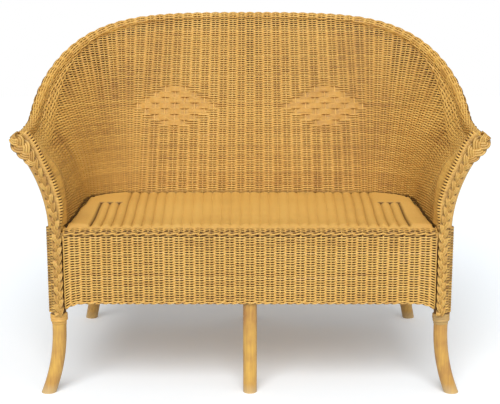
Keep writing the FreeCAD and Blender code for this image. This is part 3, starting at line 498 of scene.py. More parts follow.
# Materials
class Look:
    """Short ways to add nodes to a material or a world."""

    def __init__(self, owner, shader):
        owner.use_nodes = True
        self.owner = owner
        self.tree = owner.node_tree
        self.shader = self.tree.nodes[shader]

    def connect(self, node, inputs):
        """Sets a node's inputs: a socket is linked to, and anything else is the input's value."""
        for name, value in inputs.items():
            if isinstance(value, bpy.types.NodeSocket):
                self.tree.links.new(value, node.inputs[name])
            else:
                node.inputs[name].default_value = value

    def add(self, kind, inputs, **settings):
        """A new node; its settings come first, because they decide which inputs it has."""
        node = self.tree.nodes.new("ShaderNode" + kind)
        for name, value in settings.items():
            setattr(node, name, value)
        self.connect(node, inputs)
        return node

    def done(self, inputs):
        """Sets the shader's inputs and gives back the material or the world."""
        self.connect(self.shader, inputs)
        return self.owner

    def attribute(self, name):
        return self.add("Attribute", {}, attribute_name=name).outputs["Fac"]

    def object_place(self):
        return self.add("TexCoord", {}).outputs["Object"]

    def seen(self):
        """1 for what the camera sees directly, 0 for the light that it gives to other things."""
        return self.add("LightPath", {}).outputs["Is Camera Ray"]

    def noise(self, place, scale, detail):
        return self.add("TexNoise", {"Vector": place, "Scale": scale, "Detail": detail}).outputs

    def scaled(self, value, factor, added=0.0):
        """A value times a factor, with something added."""
        return self.add("Math", {0: value, 1: factor, 2: added}, operation="MULTIPLY_ADD").outputs[0]

    def map_range(self, value, **limits):
        """A value moved to another range; from_max stands for the input From Max, and so on."""
        inputs = {name.replace("_", " ").title(): limit for name, limit in limits.items()}
        return self.add("MapRange", {"Value": value, **inputs}).outputs["Result"]

    def ramp(self, value, stops):
        """A colour ramp; a stop is a position and a colour, and the positions rise."""
        node = self.add("ValToRGB", {"Fac": value})
        elements = node.color_ramp.elements
        for _ in stops[2:]:
            elements.new(0.5)
        for element, (position, colour) in zip(elements, stops):
            element.position = position
            element.color = (*colour, 1)
        return node.outputs["Color"]

    def mix(self, factor, first, second, blend="MIX"):
        inputs = {"Factor": factor, "A": first, "B": second}
        return self.add("Mix", inputs, data_type="RGBA", blend_type=blend).outputs["Result"]

    def bump(self, height, strength, distance):
        inputs = {"Height": height, "Strength": strength, "Distance": distance}
        return self.add("Bump", inputs).outputs["Normal"]


def new_material(name):
    return Look(bpy.data.materials.new(name), "Principled BSDF")


# Painted shade: the dark colour mixed into cane wherever its mesh marks holes, creases and gaps in shade.
PAINTED_SHADE_COLOUR = (0.085, 0.028, 0.003)
PAINTED_SHADE_FULL = 0.75
PAINTED_SHADE_MOST = 0.92
STRANDS_APART = 61.0
TONE_WEIGHT = 0.45
STREAK_WEIGHT = 0.75
BLOTCH_WEIGHT = 0.55
BLOTCH_SHIFT = -0.38
FIBRE_WEIGHT = 0.5
SMOOTHER = 0.1
ROUGHER = 0.12


def cane_material(name, colours, roughness):
    """Lacquered cane: each strand has its own shade, with streaks and blotches along it."""
    look = new_material(name)
    place = look.object_place()
    shade = look.attribute("tone")
    own_place = {"X": look.attribute("run"), "Y": look.scaled(shade, STRANDS_APART)}
    streak = look.noise(look.add("CombineXYZ", own_place).outputs[0], scale=9.0, detail=5.0)["Fac"]
    blotch = look.noise(place, scale=7.0, detail=3.0)["Fac"]
    grain = look.noise(place, scale=900.0, detail=2.0)
    patches = look.scaled(blotch, BLOTCH_WEIGHT, BLOTCH_SHIFT)
    mixed = look.scaled(shade, TONE_WEIGHT, look.scaled(streak, STREAK_WEIGHT, patches))
    stops = [(number / (len(colours) - 1), colour) for number, colour in enumerate(colours)]
    fibre = look.mix(FIBRE_WEIGHT, look.ramp(mixed, stops), grain["Color"], "SOFT_LIGHT")
    # Painted shade from a per-point attribute darkens holes, creases and gaps towards the dark colour.
    painted_shading = look.map_range(look.attribute("painted_shade"), from_max=PAINTED_SHADE_FULL, to_max=PAINTED_SHADE_MOST)
    return look.done({
        "Base Color": look.mix(painted_shading, fibre, (*PAINTED_SHADE_COLOUR, 1)),
        "Roughness": look.map_range(streak, to_min=roughness - SMOOTHER, to_max=roughness + ROUGHER),
        "Normal": look.bump(grain["Fac"], strength=0.25, distance=0.0004),
    })


DARK_CANE = (0.36, 0.17, 0.040)
HONEY_CANE = (0.68, 0.38, 0.080)
YELLOW_CANE = (0.76, 0.46, 0.11)
PINK_CANE = (0.78, 0.45, 0.16)
PLAIT_CANE = (0.56, 0.31, 0.070)
SAND_CANE = (0.70, 0.425, 0.105)
SHADED_CANE = (0.64, 0.355, 0.075)
ROSE_CANE = (0.77, 0.45, 0.145)
GREY_CANE = (0.20, 0.15, 0.085)
WORN_CANE = (0.48, 0.30, 0.11)
FIELD = cane_material("back_cane", [DARK_CANE, SHADED_CANE, YELLOW_CANE, ROSE_CANE], roughness=0.5)
WOVEN = cane_material("woven_cane", [DARK_CANE, HONEY_CANE, YELLOW_CANE, PINK_CANE], roughness=0.48)
SEAT = cane_material("seat_cane", [PLAIT_CANE, HONEY_CANE, SAND_CANE], roughness=0.48)
PLAITED = cane_material("plaited_cane", [DARK_CANE, PLAIT_CANE, SAND_CANE, PINK_CANE], roughness=0.45)
BINDING = cane_material("leg_binding", [DARK_CANE, HONEY_CANE, PINK_CANE], roughness=0.6)
WORN_BINDING = cane_material("leg_binding_worn", [GREY_CANE, WORN_CANE, SAND_CANE], roughness=0.7)


# Back and arms
SEAT_FALL_FROM = 0.35
HOLES_WIDEN = (0.40, 0.48)
HOLE_EASE = 0.004
# Share of the painted shadow above the seat along the back, rising to full at the corners
JOINT_SHADOW_BACK = 0.3
COLUMN_SPREAD = 0.2
CORNER_DARKER = 0.25
CORNER_DARK = (0.22, 0.36)
FIELD_TONE = 0.9
FIELD_HOLE_SHADE = (0.1, 0.6)
FIELD_WANDER = 0.0003
DIAMOND_DARKER = 0.55
DIAMOND_HOLE_SHADE = 0.4
STAKE_BELOW = 0.004
ROLL_FRONT_SHARE = 0.6
ROLL_HOLE_SHADE = 0.6
SMOOTH_HOLE_SHADE = 0.2
GROOVE_SHADOW = 0.6
ARM_BORDER = (0.46, 0.56)
BAND_PACKED = 0.72


def seat_height(depth):
    """Height of the seat between its creases."""
    dip = SEAT_DIP * np.exp(-((depth - SEAT_DIP_DEPTH) / SEAT_DIP_WIDTH) ** 2)
    return SEAT_TOP - depth * DECK_SLOPE - dip - SEAT_REAR_FALL * smooth(SEAT_FALL_FROM, DECK_BACK, depth)


def field_signs(row, height):
    """Plain weave with a diamond of wider steps on each half of the back, and the stakes level with one."""
    signs = plain_signs(ORDER, row)
    inside = np.zeros(len(ORDER), bool)
    band = math.floor((height - DIAMOND_HEIGHT) / DIAMOND_BAND_HEIGHT + 0.5)
    for centre in (-DIAMOND_STAKE, DIAMOND_STAKE):
        inside |= np.abs(ORDER - centre) <= DIAMOND_BANDS + 1 - abs(band)
    if abs(height - DIAMOND_HEIGHT) < DIAMOND_HALF_HEIGHT:
        signs[inside] = np.where((ORDER[inside] - DIAMOND_STAKE + band) % 2 == 1, 1.0, -1.0)
    return signs, inside


def weave_field():
    rail = rim_height(STAKES)
    stretch = rim_stretch(STAKES)
    along = np.abs(STAKES)
    top = rail + (ROLL_RADIUS * math.sin(ROLL_START) + FIELD_OVERLAP) * stretch
    wider = HOLE_ZONE_WIDER * smooth(*HOLES_WIDEN, along)
    holes_from = rail - (HOLE_ZONE + wider) * stretch
    loose_stakes = np.isin(np.abs(ORDER), LOOSE_STAKES)
    seat = seat_height(plan_point(SEAT_PLAN, STAKES)[1])
    joint_shade = JOINT_SHADOW_BACK + (1 - JOINT_SHADOW_BACK) * smooth(BACK_END, CORNER_END, along)
    columns = rng.uniform(-COLUMN_SPREAD, COLUMN_SPREAD, len(STAKES))
    columns = columns - CORNER_DARKER * smooth(*CORNER_DARK, along)
    rows = int((top.max() - SEAT_BASE) / FIELD_PITCH)
    groups = collections.defaultdict(Strands)
    parts = ("low", "lower", "middle", "upper")
    for row in range(rows):
        height = SEAT_BASE + (row + 0.5) * FIELD_PITCH
        signs, in_diamond = field_signs(row, height)
        under = np.flatnonzero(height < top)
        kept = slice(max(under[0] - 1, 0), under[-1] + 2)
        # Painted shadow on the rows just above the seat, in the gap between seat and weave.
        joint_shadow = smooth(*JOINT_SHADOW, height - seat) * joint_shade
        # Painted shade: the diamonds' strands are darkened to offset the extra light that their flat faces
        # catch.
        shade = np.clip(FIELD_TONE * tone() + columns - DIAMOND_DARKER * in_diamond, 0, 1)
        # Painted shade in the holes beside the stakes: random per stake, less in the diamonds, full in the
        # hole columns below the rail and at the loose stakes.
        near_rim = smooth(-HOLE_EASE, 0, height - holes_from)
        loose = np.maximum(near_rim, loose_stakes * smooth(*LOOSE_HEIGHTS, height))
        closed = np.where(in_diamond, DIAMOND_HOLE_SHADE, 1)
        painted_shading = np.maximum(rng.uniform(*FIELD_HOLE_SHADE, len(STAKES)) * closed, loose)
        level = np.minimum(height, top)
        apart = field_point(STAKES, level + FIELD_PITCH / 2) - field_point(STAKES, level - FIELD_PITCH / 2)
        widths = PACKED * np.linalg.norm(apart, axis=-1)
        group = groups[parts[len(parts) * row // rows]]
        weave_row(group, field_point, STAKES[kept], level[kept], signs[kept], widths[kept], shade[kept],
                  FIELD_WANDER, painted_shading[kept], joint_shadow[kept])
    stakes = Strands()
    for place, end in zip(STAKES, top):
        stake(stakes, field_point, place, SEAT_BASE - STAKE_BELOW, end, points=40)
    stakes.build("back_stakes", FIELD, "woven_cane", "back_and_arm_weave")
    for part in parts:
        groups[part].build("back_weave_" + part, FIELD, "woven_cane")


def weave_border():
    roll_length = ROLL_RADIUS * (ROLL_END - ROLL_START)
    length = BAND_WIDTH + roll_length + FLAP_LENGTH
    front = Strands()
    rear = Strands()
    on_arms = smooth(*ARM_BORDER, np.abs(STAKES))
    for row in range(int(length / BAND_PITCH)):
        travel = (row + 0.5) * BAND_PITCH
        angle = ROLL_START + (travel - BAND_WIDTH) / ROLL_RADIUS
        signs = plain_signs(ORDER, row)
        group = front if travel < BAND_WIDTH + ROLL_FRONT_SHARE * roll_length else rear
        # Painted shade in the holes, less on the smooth part of the roll, and painted shadow in the groove
        # under the roll's outer edge on the arms.
        painted_shading = ROLL_HOLE_SHADE if angle < ROLL_SMOOTH_FROM else SMOOTH_HOLE_SHADE
        shadow = GROOVE_SHADOW * on_arms * (ROLL_GROOVE_FROM < angle < ROLL_GROOVE_TO)
        shade = tone()
        reached = BAND_WIDTH - travel < band_width(STAKES)
        for kept in [reached] if reached.all() else [reached & (ORDER < 0), reached & (ORDER > 0)]:
            weave_row(group, border_point, STAKES[kept], travel, signs[kept], BAND_PACKED * BAND_PITCH,
                      shade, TIGHT_WANDER, painted_shading, shadow[kept])
    for place in STAKES:
        stake(rear, border_point, place, BAND_WIDTH - band_width(place), length, points=60)
    front.build("rim_border_front", WOVEN, "woven_cane", "rim_border")
    rear.build("rim_border_rear", WOVEN, "woven_cane")


weave_field()
weave_border()


# Front apron
APRON_LOW_DARKER = 0.55
APRON_DARK_SHARE = 0.3
APRON_WANDER = 0.0015
APRON_TOP_SHADOW = 0.4


def apron_low(x):
    """Height of the apron's lower edge, which hangs down at the posts."""
    past = np.maximum(np.abs(x) - APRON_HALF + APRON_DROOP_RUN, 0)
    bend = (APRON_DROOP ** 2 + APRON_DROOP_RUN ** 2) / (2 * APRON_DROOP)
    return APRON_BOTTOM - bend + np.sqrt(bend ** 2 - past ** 2)


def apron_point(x, share):
    """The middle of the apron; share runs from 0 at its lower edge to 1 at its top."""
    low = apron_low(x)
    return at(x, -APRON_SETBACK, low + share * (APRON_TOP - low))


APRON_SHARES = np.linspace(-1, 1, 2 * APRON_STAKES_PER_HALF + 1)
APRON_STAKES = APRON_HALF * (APRON_EVEN * APRON_SHARES + (1 - APRON_EVEN) * APRON_SHARES ** 3)


def weave_apron():
    order = np.arange(len(APRON_STAKES))
    pitch = (APRON_TOP - APRON_BOTTOM) / APRON_ROWS
    strands = Strands()
    for row in range(APRON_ROWS):
        share = (row + 0.5) / APRON_ROWS
        shade = tone() * (1 - APRON_LOW_DARKER * smooth(APRON_DARK_SHARE, 0.0, share))
        shadow = APRON_TOP_SHADOW * (row == APRON_ROWS - 1)
        weave_row(strands, apron_point, APRON_STAKES, share, plain_signs(order, row), PACKED * pitch,
                  shade, APRON_WANDER, shadow=shadow)
    for place in APRON_STAKES:
        stake(strands, apron_point, place, 0, 1, points=12)
    strands.build("front_apron_weave", WOVEN, "woven_cane", "front_apron")


weave_apron()


# Ropes and plaits
ROPE_STRANDS = 2
ROPE_POINTS = 16
ROPE_SHADOW = 0.8
ROPE_SHADOW_FULL = 0.7
PLAIT_STRANDS = 3
PLAIT_CANES = 3
PLAIT_POINTS = 24
PLAIT_RIBBON = 0.42
PLAIT_CANE_WIDER = 1.1
PLAIT_TONES = 0.15
PLAIT_HOLE_SHADE = 0.75
FORWARD = np.array([0.0, -1.0, 0.0])
UPWARD = np.array([0.0, 0.0, 1.0])


def resample(run, values, fine):
    """Values given at distances along a path, at other distances."""
    return np.stack([np.interp(fine, run, column) for column in values.T], axis=-1)


def rope(node, material, path, facing, radius, period, cane):
    """In place of a node, strands twisted round a path with their middles at a radius from it."""
    strands = Strands()
    run = run_along(path)
    fine = np.arange(0, run[-1], period / ROPE_POINTS)
    centre = resample(run, path, fine)
    beside = unit(np.cross(np.gradient(centre, axis=0), facing))
    for number in range(ROPE_STRANDS):
        turn = 2 * math.pi * (fine / period + number / ROPE_STRANDS)
        out = beside * np.cos(turn)[:, None] + facing * np.sin(turn)[:, None]
        behind = smooth(0, ROPE_SHADOW_FULL, -np.sin(turn))
        strands.add(centre + out * radius, out, cane, cane, tone(), shadow=ROPE_SHADOW * behind)
    strands.build(node + "_rope", material, "plaited_cane", node)


def plait(node, path, facing, half_width, half_depth, period):
    """In place of a node, a flat plait of ribbons of canes side by side; it may change its width."""
    strands = Strands()
    run = run_along(path)
    fine = np.arange(0, run[-1], period / PLAIT_POINTS)
    centre = resample(run, path, fine)
    normal = unit(resample(run, np.broadcast_to(facing, path.shape), fine))
    width = np.interp(fine, run, np.broadcast_to(half_width, len(run)))
    tangent = unit(np.gradient(centre, axis=0))
    beside = unit(np.cross(tangent, normal))
    ribbon = PLAIT_RIBBON * width
    thickness = 0.5 * half_depth
    for number in range(PLAIT_STRANDS):
        turn = 2 * math.pi * (fine / period + number / PLAIT_STRANDS)
        depth = np.sin(2 * turn)
        middle = centre + beside * ((width - ribbon) * np.sin(turn))[:, None]
        middle = middle + normal * ((half_depth - thickness) * depth)[:, None]
        across = unit(np.cross(np.gradient(middle, axis=0), normal))
        shade = (number + tone()) / PLAIT_STRANDS
        for cane in range(PLAIT_CANES):
            shift = ribbon * ((2 * cane + 1) / PLAIT_CANES - 1)
            own_shade = np.clip(shade + rng.uniform(-PLAIT_TONES, PLAIT_TONES), 0, 1)
            # Painted shade on the sides of the canes that face the gaps where the ribbons cross.
            strands.add(middle + across * shift[:, None], normal, PLAIT_CANE_WIDER * ribbon / PLAIT_CANES,
                        thickness, own_shade, depth, PLAIT_HOLE_SHADE)
    strands.build(node + "_plait", PLAITED, "plaited_cane", node)


# Arms
ARM_RADIUS = ((TIP_HEIGHT - FLARE_HEIGHT) ** 2 + TIP_OUT ** 2) / (2 * TIP_OUT)
ARM_TURN = math.asin((TIP_HEIGHT - FLARE_HEIGHT) / ARM_RADIUS)
ARM_STRAIGHT = FLARE_HEIGHT - COLLAR_TOP
ARM_LENGTH = ARM_STRAIGHT + ARM_RADIUS * ARM_TURN
ARM_POINTS = 90
FOLD_POINTS = 10
FOLD_BACK_POINTS = 8
PLAIT_ASIDE_RUN = 0.06
WRAP_POINTS = 18
WRAP_SINK = 0.001
WRAP_SHADOW = 0.9
WRAP_GAP_SHARPNESS = 6
WRAP_GAP_END = 0.02
LADDER_SECTION = 0.001 * np.array([
    (9, 20), (14, 19.5), (19, 17.5), (23, 13), (25, 6), (25, -4), (24.5, -20),
])
LADDER_POINTS = 19
LADDER_SHORT = 0.004
LADDER_SPREAD_BELOW = 0.02
LADDER_SPREAD_ABOVE = 0.06
LADDER_ASIDE = 0.002
LADDER_FOLLOW = 0.8
LADDER_REAR_PACKED = 0.98
LADDER_SHADOW = 0.9
LADDER_START_SHADOW = 0.3
LADDER_TONE = 0.6
BINDING_POINTS = 24
BINDING_PACKED = 0.54
BINDING_THICKER = (0.25, 0.45)


def arm_frame(run, hand):
    """The front post's axis at distances above the collar, its direction, and the way to the seat."""
    turn = np.clip(run - ARM_STRAIGHT, 0, None) / ARM_RADIUS
    x = POST_HALF + ARM_RADIUS * (1 - np.cos(turn))
    height = np.where(run < ARM_STRAIGHT, COLLAR_TOP + run, FLARE_HEIGHT + ARM_RADIUS * np.sin(turn))
    none = np.zeros_like(turn)
    ahead = np.stack([hand * np.sin(turn), none, np.cos(turn)], axis=-1)
    inward = np.stack([-hand * np.cos(turn), none, np.sin(turn)], axis=-1)
    return at(hand * x, 0, height), ahead, inward


def plait_width(run):
    """Half the width of an arm's plait, which swells to a knob at the tip."""
    swell = smooth(ARM_LENGTH - PLAIT_SWELL_FROM, ARM_LENGTH - PLAIT_SWELL_TO, run)
    close = smooth(ARM_LENGTH - 0.5 * PLAIT_SWELL_TO, ARM_LENGTH + 1.5 * TIP_ROUND, run)
    width = PLAIT_HALF_WIDTH + (PLAIT_TIP_HALF_WIDTH - PLAIT_HALF_WIDTH) * swell
    return width + (PLAIT_END_HALF_WIDTH - PLAIT_TIP_HALF_WIDTH) * close


def arm_plait(name, hand):
    """The plait up the front of a post, folded back over its tip."""
    run = np.linspace(0, ARM_LENGTH, ARM_POINTS)
    axis, ahead, inward = arm_frame(run, hand)
    on_arm = smooth(ARM_STRAIGHT, ARM_STRAIGHT + PLAIT_ASIDE_RUN, run)
    aside = PLAIT_INWARD + (PLAIT_ARM_INWARD - PLAIT_INWARD) * on_arm
    aside = aside * smooth(ARM_LENGTH, ARM_LENGTH - PLAIT_SWELL_FROM, run)
    up_front = axis + FORWARD * PLAIT_SETBACK + inward * aside[:, None]
    fold = np.linspace(0, 0.5 * math.pi, FOLD_POINTS)[1:, None]
    bend = axis[-1] + FORWARD * (PLAIT_SETBACK - TIP_ROUND)
    turned = ahead[-1] * np.sin(fold) + FORWARD * np.cos(fold)
    back = np.linspace(0, PLAIT_SETBACK - TIP_ROUND + TIP_FOLD_BACK, FOLD_BACK_POINTS)[1:, None]
    over = np.concatenate([bend + TIP_ROUND * turned, bend + TIP_ROUND * ahead[-1] - FORWARD * back])
    over_facing = np.concatenate([turned, np.broadcast_to(ahead[-1], (len(back), 3))])
    facing = np.concatenate([np.broadcast_to(FORWARD, axis.shape), over_facing])
    path = np.concatenate([up_front, over])
    plait(name, path, facing, plait_width(run_along(path)), PLAIT_HALF_DEPTH, PLAIT_PERIOD)


def arm_wrap(name, hand):
    """Flat cane wound round a post above the collar."""
    run = np.linspace(0, ARM_LENGTH, int(ARM_LENGTH / WRAP_PITCH * WRAP_POINTS))
    axis, _, inward = arm_frame(run, hand)
    angle = (2 * math.pi * run / WRAP_PITCH)[:, None]
    out = inward * np.cos(angle) + FORWARD * np.sin(angle)
    gap = np.maximum(np.cos(angle[:, 0] - WRAP_GAP_TURN), 0) ** WRAP_GAP_SHARPNESS
    gap = gap * smooth(ARM_STRAIGHT + WRAP_GAP_END, ARM_STRAIGHT, run)
    strands = Strands()
    strands.add(axis + out * (WRAP_RADIUS - WRAP_SINK), out, 0.5 * WRAP_PITCH, FLAT_CANE, tone(),
                shadow=WRAP_SHADOW * gap)
    strands.build(name + "_cane", WOVEN, "woven_cane", name)


def arm_ladder(name, hand):
    """Short weavers that tie the front edge of the arm to its post, over and under one stake."""
    runs = np.arange(LADDER_FROM, ARM_LENGTH - LADDER_SHORT, LADDER_PITCH)
    axis, _, inward = arm_frame(runs, hand)
    spread = smooth(LADDER_FROM - LADDER_SPREAD_BELOW, LADDER_FROM + LADDER_SPREAD_ABOVE, runs)
    aside = LADDER_ASIDE + LADDER_FOLLOW * (plait_width(runs) - PLAIT_HALF_WIDTH)
    corners = np.arange(len(LADDER_SECTION))
    fine = np.linspace(0, corners[-1], LADDER_POINTS)
    section = resample(corners, LADDER_SECTION, fine)
    slope = unit(np.gradient(section, axis=0))
    bulge = np.exp(-((fine - LADDER_STAKE) / LADDER_SLIT) ** 2)
    stake_at = resample(corners, LADDER_SECTION, LADDER_STAKE)
    start = LADDER_SECTION[0, 0]
    top = rim_underside(LADDER_END * hand) - FIELD_PITCH
    starting = LADDER_START_SHADOW * smooth(LADDER_STAKE - 1, 0.5, fine)
    strands = Strands()
    for number in range(len(runs)):
        over = 1 if number % 2 else -1
        lean = start + (section[:, 0] - start) * spread[number] + aside[number]
        normal = unit(inward[number] * slope[:, 1:] * -1 + FORWARD * slope[:, :1])
        path = axis[number] + inward[number] * lean[:, None] + FORWARD * section[:, 1:]
        path = path + normal * (over * SWING * bulge)[:, None]
        edge, inside = surface_frame(field_point, np.array(LADDER_END * hand), min(path[-1, 2], top))
        reach = edge + inside * (STAKE_RADIUS + 2 * CANE_RADIUS) - path[-1]
        path = path + reach * smooth(LADDER_STAKE, corners[-1], fine)[:, None]
        width = LADDER_PITCH * (PACKED if over > 0 else LADDER_REAR_PACKED)
        # Painted shadow on the under weavers where they pass behind the stake, and near the plait.
        shadow = np.maximum(LADDER_SHADOW * bulge * (over < 0), starting)
        strands.add(path, normal, width, CANE_RADIUS, LADDER_TONE * tone(), shadow=shadow)
    lean = start + (stake_at[0] - start) * spread + aside
    path = axis + inward * lean[:, None] + FORWARD * stake_at[1]
    # Painted shade: the stake is made fully dark, so that it reads as shade in the slits.
    strands.add(path, FORWARD, STAKE_RADIUS, STAKE_RADIUS, tone(), shadow=1.0)
    strands.build(name, WOVEN, "woven_cane")


def leg_collar(name, hand, material):
    """Turns of cane round a post below its plait, the upper ones thicker."""
    angle = np.linspace(0, 2 * math.pi * BINDING_TURNS, BINDING_POINTS * BINDING_TURNS)
    share = angle / angle[-1]
    out = np.stack([np.cos(angle), np.sin(angle), np.zeros_like(angle)], axis=-1)
    pitch = (BINDING_TOP - BINDING_LOW) / BINDING_TURNS
    height = BINDING_LOW + 0.5 * pitch + share * (BINDING_TOP - BINDING_LOW - pitch)
    thicker = smooth(*BINDING_THICKER, share)
    path = at(hand * POST_HALF, 0, height) + out * (POLE_RADIUS + BINDING_SWELL * thicker)[:, None]
    strands = Strands()
    strands.add(path, out, BINDING_PACKED * pitch, FLAT_CANE * (1 + thicker), tone())
    strands.build(name + "_cane", material, "leg_binding", name)


for side, hand, binding in (("left", -1, BINDING), ("right", 1, WORN_BINDING)):
    arm_plait("arm_braid_" + side, hand)
    arm_wrap("post_wrap_" + side, hand)
    arm_ladder("arm_ladder_" + side, hand)
    leg_collar("leg_collar_" + side, hand, binding)


# Seat
END_STOPS = np.array([0, 0.03, 0.12, 0.3, 0.5, 0.7, 0.90, 0.95, 1])
FAN_EASE = 0.6
RIB_TONE = 0.5
SEAT_TONE = 0.6
SEAT_PACKED = 0.56
SEAT_UNEVEN = 0.0002
SEAT_MARGIN = 0.002
RIBS_PAST = 0.003
SHORT_RIB_EASE = 0.008
SHORT_RIB_END = 0.005
SHORT_END_SHADOW = 0.8
SHORT_END_DARK = (0.2, 0.8)
CREASE_SHARPNESS = 2.5
CREASES_DEEPEN = (0.15, 0.38)
MIDDLE_CREASE = 0.40
CREASE_SHADOW = 0.24
CREASE_DARK = (0.5, 1.0)
OUTER_CREASE_SHADOW = 0.75
FRONT_LEVEL = 0.30
FRONT_RISE_FROM = -0.012
RIBS_FROM = 0.006
RIBS_FULL = 0.045
EDGE_FALL = 0.0045
EDGE_DARK = (0.0032, 0.0008)
ROLL_FROM = 0.0135
ROLL_TO = 0.031
ROLL_PITCH = 0.0031
ROLL_CLOSED = 0.25
ROLL_LOW_SHADOW = 0.35
ROLL_STAKE_LENGTH = 0.032
WALE_POINTS = 60
WALE_RADIUS = 0.0020
WALE_CANE = 0.0022


def deck_half(depth):
    """Half the seat's width at a depth."""
    past = np.maximum(depth - DECK_BACK + DECK_CORNER, 0)
    return SEAT_HALF - DECK_CORNER + math.sqrt(max(DECK_CORNER ** 2 - past ** 2, 0))


def rib_fan(x, depth):
    """Where a crease at x is at another depth; the middle ones spread towards the back."""
    return x + RIB_FAN * x * (1 - FAN_EASE * (x / RIB_HALF) ** 2) * 2 * (depth - FAN_DEPTH) / DECK_BACK


RIB_TONES = rng.uniform(0, RIB_TONE, 2 * RIBS_PER_HALF + 2)


def seat_row(strands, depth):
    """One weaver across the seat, up and down over its ribs and flat at both ends."""
    half = deck_half(depth)
    stops = [number + RIB_STOPS for number in range(-RIBS_PER_HALF, RIBS_PER_HALF)]
    ends = RIB_HALF + END_STOPS * (SEAT_HALF - RIB_HALF)
    even = np.concatenate([-ends[::-1], (np.concatenate(stops) * RIB_PITCH)[1:], ends])
    x = rib_fan(even, depth)
    kept = np.abs(x) < half - SEAT_MARGIN
    x = np.concatenate([[-half], x[kept], [half]])
    even = np.concatenate([[-half], even[kept], [half]])
    inside = half - np.abs(x)
    crease = np.abs(2 * (np.abs(even) / RIB_PITCH % 1) - 1)
    crease = np.where(np.abs(even) > RIB_HALF + RIBS_PAST, 0, crease)
    number = np.round(np.abs(even) / RIB_PITCH)
    is_short = number > RIBS_PER_HALF - SHORT_RIBS
    short = smooth(SHORT_RIB_DEPTH + SHORT_RIB_EASE, SHORT_RIB_DEPTH - SHORT_RIB_EASE, depth)
    strength = MIDDLE_CREASE + (1 - MIDDLE_CREASE) * smooth(*CREASES_DEEPEN, np.abs(even))
    strength = strength * np.where(is_short, short, 1)
    front = FRONT_LEVEL + (1 - FRONT_LEVEL) * smooth(FRONT_RISE_FROM, RIBS_FULL, depth)
    ribbed = smooth(RIBS_FROM, RIBS_FULL, depth)
    fall = np.maximum(strength * crease ** CREASE_SHARPNESS * ribbed, smooth(EDGE_FALL, 0.0, inside))
    height = seat_height(depth) - RIB_RISE * (1 - front) - RIB_RISE * fall
    path = at(x, depth, height + rng.uniform(-SEAT_UNEVEN, SEAT_UNEVEN))
    tangent = unit(np.gradient(path, axis=0))
    normal = np.stack([-tangent[:, 2], np.zeros(len(x)), tangent[:, 0]], axis=-1)
    # Painted shade in the creases between the ribs, at the ends of the short ribs and along the seat's side
    # edges.
    darkest = np.where(number == RIBS_PER_HALF, OUTER_CREASE_SHADOW, CREASE_SHADOW)
    dark = smooth(*CREASE_DARK, crease) * strength ** 2 * ribbed * darkest
    at_end = math.exp(-((depth - SHORT_RIB_DEPTH) / SHORT_RIB_END) ** 2)
    ending = SHORT_END_SHADOW * at_end * is_short * smooth(*SHORT_END_DARK, crease)
    dark = np.maximum(np.maximum(dark, ending), smooth(*EDGE_DARK, inside))
    rib = np.clip(np.floor(even / RIB_PITCH) + RIBS_PER_HALF + 1, 0, len(RIB_TONES) - 1).astype(int)
    shade = np.clip(SEAT_TONE * tone() + RIB_TONES[rib], 0, 1)
    strands.add(path, normal, SEAT_PACKED * SEAT_PITCH, FLAT_CANE, shade, shadow=dark)


def weave_seat():
    parts = ("front", "middle", "rear")
    groups = collections.defaultdict(Strands)
    depths = np.arange(SEAT_MARGIN, DECK_BACK - SEAT_MARGIN, SEAT_PITCH)
    for number, depth in enumerate(depths):
        seat_row(groups[parts[len(parts) * number // len(depths)]], depth)
    groups["front"].build("seat_weave_front", SEAT, "seat_cane", "seat_deck")
    groups["middle"].build("seat_weave_middle", SEAT, "seat_cane")
    groups["rear"].build("seat_weave_rear", SEAT, "seat_cane")


def roll_point(x, travel):
    """The weave over the front edge of the seat; travel starts level with the rail's axis."""
    angle = travel / APRON_SETBACK
    return at(x, -APRON_SETBACK * np.cos(angle), RAIL_HEIGHT + APRON_SETBACK * np.sin(angle))


def weave_roll():
    strands = Strands()
    order = np.arange(len(APRON_STAKES))
    for row, travel in enumerate(np.arange(ROLL_FROM, ROLL_TO, ROLL_PITCH)):
        # Painted shade in the holes, strong in two rows and weak elsewhere; the first row, behind the wale,
        # gets painted shadow.
        painted_shading = ROLL_HOLES if row in ROLL_HOLE_ROWS else ROLL_CLOSED
        weave_row(strands, roll_point, APRON_STAKES, travel, plain_signs(order, row), PACKED * ROLL_PITCH,
                  tone(), TIGHT_WANDER, painted_shading, ROLL_LOW_SHADOW * (row == 0))
    for place in APRON_STAKES:
        stake(strands, roll_point, place, 0, ROLL_STAKE_LENGTH, points=8)
    strands.build("seat_front_roll_weave", SEAT, "seat_cane", "seat_front_roll")


def twist_wale():
    x = np.linspace(-APRON_HALF, APRON_HALF, WALE_POINTS)
    path = at(x, -WALE_OUT * math.cos(WALE_ANGLE), RAIL_HEIGHT + WALE_OUT * math.sin(WALE_ANGLE))
    rope("seat_edge_wale", SEAT, path, FORWARD, WALE_RADIUS, WALE_PERIOD, WALE_CANE)


weave_seat()
weave_roll()
twist_wale()


# Skirt, ledge and hems
SKIRT_SIDE = (SKIRT_TOP_PLAN.back - SKIRT_TOP_PLAN.corner - SKIRT_TOP_PLAN.front) / (1 - CORNER_END)
SKIRT_DROOP_PLACES = (0.93, 1.02)
SKIRT_TURN_FULL = 1.03
SKIRT_TURN_SHADOW = 0.5
LEDGE_HALF_WIDTH = 0.01425
LEDGE_HALF_DEPTH = 0.006
LEDGE_PERIOD = 0.055
APRON_HEM_POINTS = 120


